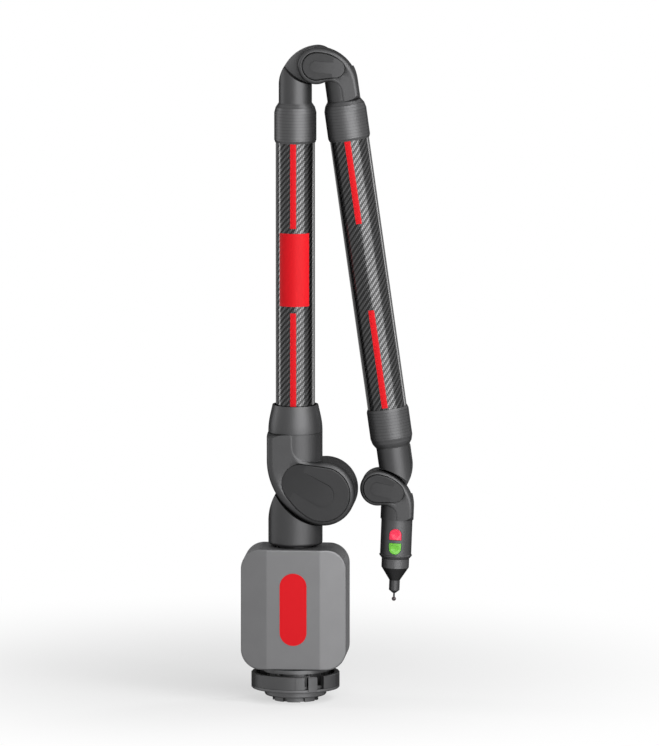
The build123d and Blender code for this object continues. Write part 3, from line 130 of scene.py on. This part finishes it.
class Nodes:
    """A material's node tree, with short calls to add and join nodes."""

    def __init__(self, name):
        self.material = bpy.data.materials.new(name)
        self.material.use_nodes = True
        self.tree = self.material.node_tree
        self.shader = self.tree.nodes["Principled BSDF"]

    def add(self, kind, **settings):
        node = self.tree.nodes.new("ShaderNode" + kind)
        for key, value in settings.items():
            setattr(node, key, value)
        return node

    def feed(self, value, socket):
        """A fixed value is set on the socket, and one that changes over the surface is linked to it."""
        if isinstance(value, (int, float, tuple)):
            socket.default_value = value
        else:
            self.tree.links.new(value, socket)

    def surface(self, socket, value):
        self.feed(value, self.shader.inputs[socket])

    def math(self, operation, *values):
        node = self.add("Math", operation=operation)
        for value, socket in zip(values, node.inputs):
            self.feed(value, socket)
        return node.outputs[0]

    def place(self):
        return self.add("TexCoord").outputs["Object"]

    def along(self, axis):
        """How far a point lies along an axis through the scene's origin."""
        node = self.add("VectorMath", operation="DOT_PRODUCT")
        self.feed(self.place(), node.inputs[0])
        node.inputs[1].default_value = axis
        return node.outputs["Value"]

    def noise(self, vector, scale, detail=3.0):
        node = self.add("TexNoise")
        self.feed(scale, node.inputs["Scale"])
        self.feed(detail, node.inputs["Detail"])
        self.feed(vector, node.inputs["Vector"])
        return node.outputs["Fac"]

    def blend(self, factor, first, second):
        """A colour between two, by a factor that changes over the surface."""
        node = self.add("Mix", data_type="RGBA")
        self.feed(factor, node.inputs["Factor"])
        for socket, colour in zip((node.inputs[6], node.inputs[7]), (first, second)):
            self.feed((*colour, 1.0) if isinstance(colour, tuple) else colour, socket)
        return node.outputs[2]

    def spread(self, factor, low, high):
        """A factor from 0 to 1 brought to a range."""
        node = self.add("MapRange")
        self.feed(factor, node.inputs["Value"])
        self.feed(low, node.inputs["To Min"])
        self.feed(high, node.inputs["To Max"])
        return node.outputs[0]

    def bump(self, height, strength, distance):
        node = self.add("Bump")
        self.feed(strength, node.inputs["Strength"])
        self.feed(distance, node.inputs["Distance"])
        self.feed(height, node.inputs["Height"])
        self.surface("Normal", node.outputs[0])

    def grain(self, roughness, scale, depth):
        """Uneven gloss and a fine relief, from one noise."""
        fine = self.noise(self.place(), scale, 2.0)
        self.surface("Roughness", self.spread(fine, roughness - 0.06, roughness + 0.08))
        self.bump(fine, depth, 0.2 * MM)

    def edge_shaded_metal(self, metallic=0.85, specular=0.1):
        """A coated metal whose reflection is painted dark towards its edges by a black edge tint, a painted shade
        where a plain one would show the white studio.
        """
        self.surface("Metallic", metallic)
        self.surface("Specular IOR Level", specular)
        # A black edge tint: painted shade on the metal's edges, standing in for a dark studio at the sides of the
        # arm.
        self.surface("Specular Tint", (0, 0, 0, 1))


def grey(level):
    """A linear grey for a grey level of 0 to 255 on the screen, a touch cool."""
    share = level / 255
    linear = share / 12.92 if share <= 0.04045 else ((share + 0.055) / 1.055) ** 2.4
    return (linear, linear, linear * 1.02)


def screen(red, green, blue):
    """A linear colour for a colour on the screen."""
    return tuple(grey(level)[0] for level in (red, green, blue))


def shade(colour, share):
    return tuple(level * share for level in colour)


CLOUD_SCALE = 35.0
ANODISED_GRAIN = 2200.0


def clouded(name, colour, roughness, grain, depth):
    """A slightly cloudy colour with a fine grain."""
    nodes = Nodes(name)
    cloud = nodes.noise(nodes.place(), CLOUD_SCALE)
    nodes.surface("Base Color", nodes.blend(cloud, shade(colour, 0.88), colour))
    nodes.grain(roughness, grain, depth)
    return nodes


def satin(name, colour, roughness, grain, depth, metallic=0.0):
    """A painted, moulded or bare metal surface."""
    nodes = clouded(name, colour, roughness, grain, depth)
    nodes.surface("Metallic", metallic)
    return nodes.material


def coated(name, colour, roughness, grain, depth, metallic, specular):
    """A powder coat, with painted shade towards its edges from a black edge tint."""
    nodes = clouded(name, colour, roughness, grain, depth)
    nodes.edge_shaded_metal(metallic, specular)
    return nodes.material


def anodised(name, level, roughness, grain=ANODISED_GRAIN, depth=0.08):
    """Dark anodised metal or a dark coat, with painted shade towards its edges from a black edge tint."""
    nodes = clouded(name, grey(level), roughness, grain, depth)
    nodes.edge_shaded_metal()
    return nodes.material


LINE_PITCH = 0.9 * MM
GROOVE_PITCH = 4.2 * MM
GROOVE_SHARE = 0.2  # of the pitch that is groove


def turned(name, colour, roughness, axis_matrix):
    """A turned sleeve, with uneven tool lines, and faint grooves round its axis that are only darker colour:
    painted shade of the grooves.
    """
    nodes = Nodes(name)
    along = nodes.along(axis_matrix.to_3x3().col[2])
    lines = nodes.add("TexNoise", noise_dimensions="1D")
    nodes.feed(along, lines.inputs["W"])
    nodes.feed(1 / LINE_PITCH, lines.inputs["Scale"])
    nodes.feed(4.0, lines.inputs["Detail"])
    line = lines.outputs["Fac"]
    turns = nodes.math("FRACT", nodes.math("DIVIDE", along, GROOVE_PITCH))
    groove = nodes.math("LESS_THAN", turns, GROOVE_SHARE)
    plain = nodes.blend(line, shade(colour, 0.8), shade(colour, 1.15))
    # Grooves: darker colour with no relief, a painted shade of the grooves.
    nodes.surface("Base Color", nodes.blend(groove, plain, shade(colour, 0.76)))
    nodes.surface("Roughness", nodes.spread(line, roughness - 0.08, roughness + 0.08))
    nodes.edge_shaded_metal()
    nodes.bump(line, 0.25, 0.3 * MM)
    return nodes.material


TOW = 2.0 * MM  # the width of one band of fibres
TWILL = 4.0  # bands in one repeat of the weave
FIBRE_SCALE = 900.0


def bulge(nodes, cells):
    """1 in the middle of each cell of a value, and 0 where two cells meet."""
    off_middle = nodes.math("SUBTRACT", nodes.math("FRACT", cells), 0.5)
    return nodes.math("SUBTRACT", 1.0, nodes.math("MULTIPLY", nodes.math("ABSOLUTE", off_middle), 2.0))


def carbon(name, tube_matrix):
    """Carbon fibre in a two-by-two twill round a tube, under a clear coat, with a painted sheen on the lengthwise
    bands and painted shade where bands meet.
    """
    nodes = Nodes(name)
    local = nodes.add("Mapping", vector_type="POINT")
    inverse = tube_matrix.inverted()
    local.inputs["Location"].default_value = inverse.translation
    local.inputs["Rotation"].default_value = inverse.to_euler()
    nodes.feed(nodes.place(), local.inputs["Vector"])
    parts = nodes.add("SeparateXYZ")
    nodes.feed(local.outputs[0], parts.inputs[0])
    x, y, z = parts.outputs
    angle = nodes.math("ARCTAN2", x, nodes.math("MULTIPLY", y, -1.0))
    around = nodes.math("MULTIPLY", angle, TUBE_RADIUS / TOW)
    along = nodes.math("DIVIDE", z, TOW)

    step = nodes.math("SUBTRACT", nodes.math("FLOOR", around), nodes.math("FLOOR", along))
    lengthwise = nodes.math("LESS_THAN", nodes.math("FLOORED_MODULO", step, TWILL), TWILL / 2)
    top_band = nodes.add("Mix", data_type="FLOAT")
    nodes.feed(lengthwise, top_band.inputs["Factor"])
    nodes.feed(bulge(nodes, along), top_band.inputs[2])
    nodes.feed(bulge(nodes, around), top_band.inputs[3])
    crown = top_band.outputs[0]

    fibres = nodes.noise(local.outputs[0], FIBRE_SCALE, 2.0)
    # The lengthwise bands are lighter, most along their crowns: a painted sheen of the fibres. Where bands meet
    # the colour goes nearly black: painted shade between the bands.
    dark = nodes.blend(fibres, grey(22), grey(40))
    light = nodes.blend(fibres, grey(84), grey(132))
    sheen_dash = nodes.math("MULTIPLY", lengthwise, nodes.math("POWER", crown, 1.5))
    weave = nodes.blend(sheen_dash, dark, light)
    seam_shaded_weave = nodes.blend(nodes.math("POWER", crown, 0.5), grey(12), weave)
    nodes.surface("Base Color", seam_shaded_weave)
    nodes.surface("Roughness", nodes.spread(lengthwise, 0.45, 0.28))
    nodes.edge_shaded_metal(metallic=0.9)
    nodes.surface("Coat Weight", 0.4)
    nodes.surface("Coat Roughness", 0.05)
    nodes.bump(crown, 0.25, 0.1 * MM)
    return nodes.material


PEEL_SCALE = 1300.0


def glossy(name, colour, roughness, specular=0.5):
    """Lacquered or moulded colour with a faint orange peel."""
    nodes = Nodes(name)
    peel = nodes.noise(nodes.place(), PEEL_SCALE, 2.0)
    nodes.surface("Base Color", nodes.blend(peel, shade(colour, 0.97), colour))
    nodes.surface("Roughness", nodes.spread(peel, roughness - 0.04, roughness + 0.05))
    nodes.surface("Specular IOR Level", specular)
    nodes.bump(peel, 0.02, 0.1 * MM)
    return nodes.material


NOSE_CONE_START = -107.5 * MM  # from the wrist, up along the handle


def nose_finish():
    """Anodised metal, lighter on the nose's straight part than on its cone."""
    nodes = Nodes("nose_two_tone")
    handle_up = HANDLE_FRAME.to_3x3().col[2]
    cone_start = handle_up.dot(handle_point) + NOSE_CONE_START
    straight = nodes.math("GREATER_THAN", nodes.along(handle_up), cone_start)
    nodes.surface("Base Color", nodes.blend(straight, grey(50), grey(84)))
    nodes.grain(0.4, ANODISED_GRAIN, 0.08)
    nodes.edge_shaded_metal()
    return nodes.material


paint = {
    "castings": anodised("casting_coat", 72, 0.46, 1400.0, 0.12),
    "caps": anodised("cap_plastic", 56, 0.42, 1800.0, 0.15),
    "housing": coated("housing_paint", grey(110), 0.5, 1600.0, 0.08, 0.8, 0.08),
    "badge": glossy("badge_red", screen(190, 24, 31), 0.4, 0.06),
    "foot_metal": anodised("foot_anodised", 98, 0.42),
    "ring": anodised("lock_ring_anodised", 84, 0.4),
    "steel": satin("ground_steel", grey(170), 0.28, 2500.0, 0.08, 1.0),
    "stylus_metal": anodised("stylus_blacked", 74, 0.34, 2500.0, 0.05),
    "ball": glossy("stylus_ball_glaze", screen(62, 54, 56), 0.16, 0.3),
    "nose_metal": nose_finish(),
    "barrel_metal": satin("machined_aluminium", grey(180), 0.35, 2500.0, 0.08, 1.0),
    "handle_shell": anodised("handle_coat", 80, 0.44, 1600.0, 0.1),
    "encoder_glass": glossy("encoder_disc_coat", grey(150), 0.15),
    "boards": satin("board_green", screen(22, 84, 50), 0.4, 900.0, 0.1),
    "battery": satin("battery_wrap", grey(60), 0.45, 700.0, 0.1),
    "soft_black": satin("port_cover_rubber", grey(38), 0.7, 1600.0, 0.2),
    "power_black": satin("power_button_plastic", grey(46), 0.4, 1600.0, 0.1),
    "red": glossy("red_button_plastic", screen(214, 40, 72), 0.26, 0.4),
    "green": glossy("green_button_plastic", screen(96, 168, 52), 0.26, 0.4),
}
forearm_turned = turned("sleeve_turned_forearm", grey(80), 0.46, FOREARM_FRAME)
paint_by_node = {
    # The ground-steel spindle gets a dark coat: a painted shade where it shows in the gap under the neck.
    "neck_spindle": anodised("spindle_painted_shade", 60, 0.4),
    "hub_screws": anodised("screws_blacked", 60, 0.4),
    "upper_collar": anodised("collar_anodised", 76, 0.46),
    "probe_ring": anodised("probe_ring_anodised", 80, 0.42),
    "upper_sleeve": turned("sleeve_turned_upper", grey(80), 0.46, UPPER_FRAME),
    "forearm_top_sleeve": forearm_turned,
    "forearm_end_sleeve": forearm_turned,
    "upper_tube": carbon("upper_carbon", UPPER_FRAME),
    "forearm_tube": carbon("forearm_carbon", FOREARM_FRAME),
}
button_frame_plastic = satin("button_frame_plastic", screen(52, 62, 64), 0.4, 1600.0, 0.1)


def paint_cad_nodes():
    slots = {part["node"]: part["material_slot"] for part in frame["record"]["subparts"]}
    for name, piece in frame["nodes"].items():
        finish = paint_by_node.get(name) or paint[slots[name]]
        for slot in piece.material_slots:
            slot.material = finish


paint_cad_nodes()

# Making pieces


def merged_copy(node):
    """A bmesh of a CAD node, with its loose triangles joined."""
    mesh = bmesh.new()
    mesh.from_mesh(frame["nodes"][node].data)
    bmesh.ops.remove_doubles(mesh, verts=mesh.verts, dist=MERGE)
    return mesh


def placed(mesh, name):
    """An object of a finished bmesh."""
    data = bpy.data.meshes.new(name)
    mesh.to_mesh(data)
    mesh.free()
    return linked(name, data)


def dressed(piece, body, finish, smooth_angle):
    """Gives a piece its finish and smooth shading, and lets it ride on its body."""
    piece.data.materials.clear()
    piece.data.materials.append(finish)
    piece.data.shade_smooth()
    piece.data.set_sharp_from_angle(angle=radians(smooth_angle))
    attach(piece, body)


def even_normals(piece):
    """Lets large faces lead the shading, so that flat faces stay flat beside their rounded edges."""
    even = piece.modifiers.new("even_normals", "WEIGHTED_NORMAL")
    even.keep_sharp = True
    even.mode = "FACE_AREA"
    even.weight = 100


def cut_through(mesh, axis, low, high, pitch):
    """Cuts the faces across an axis, so that they can be bent or pressed in."""
    for step in range(1, int((high - low) / pitch)):
        bmesh.ops.bisect_plane(
            mesh, geom=mesh.verts[:] + mesh.edges[:] + mesh.faces[:],
            plane_co=axis * (low + step * pitch), plane_no=axis,
        )


# Front castings, with the thin point behind the plate cut blunt. It faces the mate, at the hinge's height.

SMALL_BLUNT = (29.0 * MM, 9.0 * MM)  # the tube's distance from the hinge, and where the point is cut
LARGE_BLUNT = (39.0 * MM, 13.0 * MM)
HALF_GAP = 0.3 * MM
CUT_SIZE = 80.0 * MM


def blunt_cutter(hinge, to_hinge, to_tube, blunt):
    """A block over the thin point, on the half of the casting that faces its mate."""
    offset, height = blunt
    half = CUT_SIZE / 2
    middle = hinge - to_hinge * (offset + half) + to_tube * (height - half) + BACK * (half - HALF_GAP)
    turn = Matrix((to_hinge, BACK, to_tube)).transposed().to_4x4()
    mesh = bmesh.new()
    bmesh.ops.create_cube(mesh, size=CUT_SIZE)
    bmesh.ops.transform(mesh, matrix=Matrix.Translation(middle) @ turn, verts=mesh.verts)
    bmesh.ops.recalc_face_normals(mesh, faces=mesh.faces)
    return placed(mesh, "blunt_cutter")


def blunted_casting(node, body, *cut):
    """The casting's own shape without its thin point, in the CAD node's place."""
    piece = placed(merged_copy(node), node + "_blunted")
    cutter = blunt_cutter(*cut)
    blunt = piece.modifiers.new("blunt", "BOOLEAN")
    blunt.operation = "DIFFERENCE"
    blunt.solver = "EXACT"
    blunt.object = cutter
    evaluated = piece.evaluated_get(bpy.context.evaluated_depsgraph_get())
    cut_mesh = bpy.data.meshes.new_from_object(evaluated)
    piece.modifiers.clear()
    piece.data = cut_mesh
    bpy.data.objects.remove(cutter)
    dressed(piece, body, paint["castings"], 20.0)
    even_normals(piece)
    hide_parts(node)


blunted_casting("shoulder_casting", "shoulder", joint_point("shoulder_hinge"), RIGHT, UP, LARGE_BLUNT)
blunted_casting(
    "elbow_front_casting", "elbow", joint_point("elbow_hinge"),
    -FOREARM_FRAME.to_3x3().col[0], -forearm_up, SMALL_BLUNT,
)
blunted_casting("handle_casting", "handle", wrist_point, -handle_right, handle_down, SMALL_BLUNT)

# Labels on the tubes, as thin lacquered skins

LABEL_THICKNESS = 0.15 * MM
LABEL_STEP = radians(2.5)
LABEL_SMOOTH = 30.0
STRIPE_WIDTH = 8.0 * MM
STRIPE_TURN = radians(-2.0)
PLATE_WIDTH = 39.0 * MM

# Heights on the upper tube, and along the forearm's axis from its roll joint
UPPER_PLATE = (532.5 * MM, 630.5 * MM)
UPPER_STRIPES = ((395.0 * MM, 523.8 * MM), (637.2 * MM, 750.5 * MM))
FOREARM_STRIPES = ((-216.0 * MM, -104.4 * MM), (-465.7 * MM, -333.0 * MM))


def wrap_label(mesh, tube_matrix, turn, width, low, high):
    """A skin bent round a tube, from a line that is spun about the tube's axis."""
    angle = 2 * asin(width / 2 / TUBE_RADIUS)
    first = Matrix.Rotation(turn - angle / 2, 4, "Z") @ Vector((0, -TUBE_RADIUS - SKIN_LIFT, 0))
    ends = [mesh.verts.new(tube_matrix @ (first + UP * height)) for height in (low, high)]
    line = mesh.edges.new(ends)
    bmesh.ops.spin(
        mesh, geom=[*ends, line], cent=tube_matrix.translation, axis=tube_matrix.to_3x3().col[2],
        angle=angle, steps=int(angle / LABEL_STEP), use_merge=False, use_duplicate=False,
    )


def make_label(name, tube_matrix, body, patches):
    mesh = bmesh.new()
    for turn, width, low, high in patches:
        wrap_label(mesh, tube_matrix, turn, width, low, high)
    bmesh.ops.recalc_face_normals(mesh, faces=mesh.faces)
    bmesh.ops.solidify(mesh, geom=mesh.faces[:], thickness=-LABEL_THICKNESS)
    bmesh.ops.recalc_face_normals(mesh, faces=mesh.faces)
    dressed(placed(mesh, name), body, paint["badge"], LABEL_SMOOTH)


def stripes(heights):
    return tuple((STRIPE_TURN, STRIPE_WIDTH, low, high) for low, high in heights)


make_label("upper_label", UPPER_FRAME, "upper_arm", (*stripes(UPPER_STRIPES), (0.0, PLATE_WIDTH, *UPPER_PLATE)))
make_label("forearm_label", FOREARM_FRAME, "forearm", stripes(FOREARM_STRIPES))

# The thin dark frame around the two buttons, bent round the handle

BUTTON_HALF = 8.1 * MM
BUTTON_HEIGHT = 15.0 * MM
BUTTONS_TOP = -53.4 * MM  # from the wrist, up along the handle
BUTTONS_END = -87.8 * MM
BUTTON_SLIT = 0.35 * MM
FRAME_WIDTH = 0.95 * MM
FRAME_THICKNESS = 0.3 * MM
FRAME_CUTS = 1.0 * MM
LOOP_POINTS = 64


def rounded_loop(mesh, half, low, high, flat_low=False, flat_high=False):
    """A closed loop with two round ends, or with a flat one where a button is square."""
    loop = bmesh.ops.create_circle(mesh, cap_ends=False, segments=LOOP_POINTS, radius=half)["verts"]
    for vert in loop:
        if vert.co.y > 0:
            vert.co.y = high if flat_high else high - half + vert.co.y
        else:
            vert.co.y = low if flat_low else low + half + vert.co.y
    if flat_high or flat_low:
        flat_end = high if flat_high else low
        for vert in loop:
            if abs(vert.co.y - flat_end) < MERGE / 10 and abs(vert.co.x) > half * 0.6:
                vert.co.x = half if vert.co.x > 0 else -half
    bmesh.ops.remove_doubles(mesh, verts=loop, dist=MERGE)


def make_button_frame():
    """A flat plate with two button-shaped openings, cut into strips and bent to the handle."""
    mesh = bmesh.new()
    opening = BUTTON_HALF + BUTTON_SLIT
    outside = opening + FRAME_WIDTH
    top, end = BUTTONS_TOP + BUTTON_SLIT, BUTTONS_END - BUTTON_SLIT
    open_height = BUTTON_HEIGHT + 2 * BUTTON_SLIT
    rounded_loop(mesh, outside, end - FRAME_WIDTH, top + FRAME_WIDTH)
    rounded_loop(mesh, opening, top - open_height, top, flat_low=True)
    rounded_loop(mesh, opening, end, end + open_height, flat_high=True)
    bmesh.ops.triangle_fill(mesh, use_beauty=True, use_dissolve=False, edges=mesh.edges[:])
    cut_through(mesh, RIGHT, -outside, outside, FRAME_CUTS)
    radius = HANDLE_RADIUS + SKIN_LIFT
    for vert in mesh.verts:
        angle = asin(vert.co.x / HANDLE_RADIUS)
        vert.co = HANDLE_FRAME @ Vector((radius * sin(angle), -radius * cos(angle), vert.co.y))
    bmesh.ops.recalc_face_normals(mesh, faces=mesh.faces)
    if sum(face.normal.dot(BACK) for face in mesh.faces) > 0:
        bmesh.ops.reverse_faces(mesh, faces=mesh.faces)
    bmesh.ops.solidify(mesh, geom=mesh.faces[:], thickness=-FRAME_THICKNESS)
    bmesh.ops.recalc_face_normals(mesh, faces=mesh.faces)
    dressed(placed(mesh, "button_frame"), "handle", button_frame_plastic, LABEL_SMOOTH)


make_button_frame()

# The buttons, with a shallow finger dish in each

DISH_RADIUS = 7.2 * MM
DISH_DEPTH = 1.1 * MM
DISH_CUTS = 0.9 * MM
DISH_SMOOTH = 40.0
ROUND_ERROR = 0.1 * MM  # how far the mesh's chords may lie under the round face
BUTTON_FACE = HANDLE_RADIUS + 0.4 * MM  # what lies further out is a button's face


def dished_button(node, slot, middle):
    """The button's own shape, with its face pressed in around a middle that is given along the handle."""
    mesh = merged_copy(node)
    bmesh.ops.transform(mesh, matrix=HANDLE_FRAME.inverted(), verts=mesh.verts)
    cut_through(mesh, RIGHT, -BUTTON_HALF, BUTTON_HALF, DISH_CUTS)
    cut_through(mesh, UP, middle - BUTTON_HEIGHT / 2, middle + BUTTON_HEIGHT / 2, DISH_CUTS)
    face_radius = max(vert.co.xy.length for vert in mesh.verts)
    for vert in mesh.verts:
        if vert.co.y < 0 and vert.co.xy.length > face_radius - ROUND_ERROR:
            vert.co.xy *= face_radius / vert.co.xy.length
        if vert.co.y < 0 and vert.co.xy.length > BUTTON_FACE:
            reach = min(1.0, Vector((vert.co.x, vert.co.z - middle)).length / DISH_RADIUS)
            vert.co.y += DISH_DEPTH * (1 - reach * reach) ** 2
    bmesh.ops.transform(mesh, matrix=HANDLE_FRAME, verts=mesh.verts)
    bmesh.ops.recalc_face_normals(mesh, faces=mesh.faces)
    piece = placed(mesh, node + "_dished")
    dressed(piece, node, paint[slot], DISH_SMOOTH)
    even_normals(piece)
    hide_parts(node)


dished_button("red_button", "red", BUTTONS_TOP - BUTTON_HEIGHT / 2)
dished_button("green_button", "green", BUTTONS_END + BUTTON_HEIGHT / 2)

# Floor, backdrop and lights

WHITE = (1, 1, 1, 1)
# Round the foot the floor shows its own grey under the lamps instead of white: a painted shade, besides the arm's
# own shadow.
FLOOR_COLOUR = (0.6, 0.6, 0.6, 1)
FLOOR_SIZE = 60.0
NEAR_WHITE = 0.55  # how far the floor by the foot is white in itself, where it takes the arm's shadow
SHADOW_REACH = (0.1, 0.75)
SHADOW_MIDDLE = (-0.05, 0.2, 0.0)
AMBIENT = 0.05
LAMP_AIM = Vector((0.04, 0.0, 0.46))
SOFTBOXES = (
    # name, azimuth, elevation, distance, width, height, radiance
    ("key_softbox", 30, 12, 2.0, 2.1, 2.2, 5.4),
    ("high_softbox", 62, 52, 2.0, 0.6, 0.6, 12.0),
    ("left_strip", -100, 5, 2.0, 0.3, 2.2, 9.0),
    ("right_rim_strip", 132, 12, 2.0, 0.4, 2.2, 7.0),
    ("rear_softbox", 205, 30, 2.2, 1.2, 1.6, 2.0),
)


def seen_by_eye(tree):
    """One for the rays that show the studio itself: straight, mirrored or through glass."""
    rays = tree.nodes.new("ShaderNodeLightPath")
    first = tree.nodes.new("ShaderNodeMath")
    second = tree.nodes.new("ShaderNodeMath")
    first.operation = second.operation = "MAXIMUM"
    tree.links.new(rays.outputs["Is Camera Ray"], first.inputs[0])
    tree.links.new(rays.outputs["Is Glossy Ray"], first.inputs[1])
    tree.links.new(first.outputs[0], second.inputs[0])
    tree.links.new(rays.outputs["Is Transmission Ray"], second.inputs[1])
    return second.outputs[0]


def make_floor():
    """A matt floor that is seen as white, and grey by the foot, a painted shade round the foot, where the arm's
    own shadow also shows.
    """
    mesh = bmesh.new()
    bmesh.ops.create_grid(mesh, x_segments=1, y_segments=1, size=FLOOR_SIZE)
    floor = placed(mesh, "floor")
    nodes = Nodes("floor_white")
    nodes.surface("Base Color", FLOOR_COLOUR)
    nodes.surface("Roughness", 0.9)
    nodes.surface("Specular IOR Level", 0.0)
    reach = nodes.add("VectorMath", operation="DISTANCE")
    nodes.feed(nodes.place(), reach.inputs[0])
    nodes.feed(SHADOW_MIDDLE, reach.inputs[1])
    white = nodes.add("MapRange", interpolation_type="SMOOTHSTEP")
    nodes.feed(reach.outputs["Value"], white.inputs["Value"])
    limits = (*SHADOW_REACH, NEAR_WHITE, 1.0)
    for socket, value in zip(("From Min", "From Max", "To Min", "To Max"), limits):
        nodes.feed(value, white.inputs[socket])
    glow = nodes.add("Emission")
    nodes.feed(WHITE, glow.inputs["Color"])
    mix = nodes.add("MixShader")
    nodes.feed(nodes.math("MULTIPLY", seen_by_eye(nodes.tree), white.outputs[0]), mix.inputs[0])
    nodes.feed(nodes.shader.outputs[0], mix.inputs[1])
    nodes.feed(glow.outputs[0], mix.inputs[2])
    nodes.feed(mix.outputs[0], nodes.tree.nodes["Material Output"].inputs["Surface"])
    floor.data.materials.append(nodes.material)


def make_world():
    """White to the eye, and a faint even light on the arm."""
    world = bpy.data.worlds.new("studio")
    bpy.context.scene.world = world
    world.use_nodes = True
    tree = world.node_tree
    background = tree.nodes["Background"]
    background.inputs["Color"].default_value = WHITE
    level = tree.nodes.new("ShaderNodeMapRange")
    level.inputs["To Min"].default_value = AMBIENT
    level.inputs["To Max"].default_value = 1.0
    tree.links.new(seen_by_eye(tree), level.inputs["Value"])
    tree.links.new(level.outputs[0], background.inputs["Strength"])


def make_softbox(name, azimuth, elevation, distance, width, height, radiance):
    """A rectangular lamp that faces the arm's middle."""
    data = bpy.data.lights.new(name, "AREA")
    data.shape = "RECTANGLE"
    data.size = width
    data.size_y = height
    data.energy = radiance * pi * width * height
    stand(linked(name, data), LAMP_AIM, outwards(azimuth, elevation), distance)


make_floor()
make_world()
for softbox in SOFTBOXES:
    make_softbox(*softbox)

bpy.context.scene.view_settings.view_transform = "Standard"
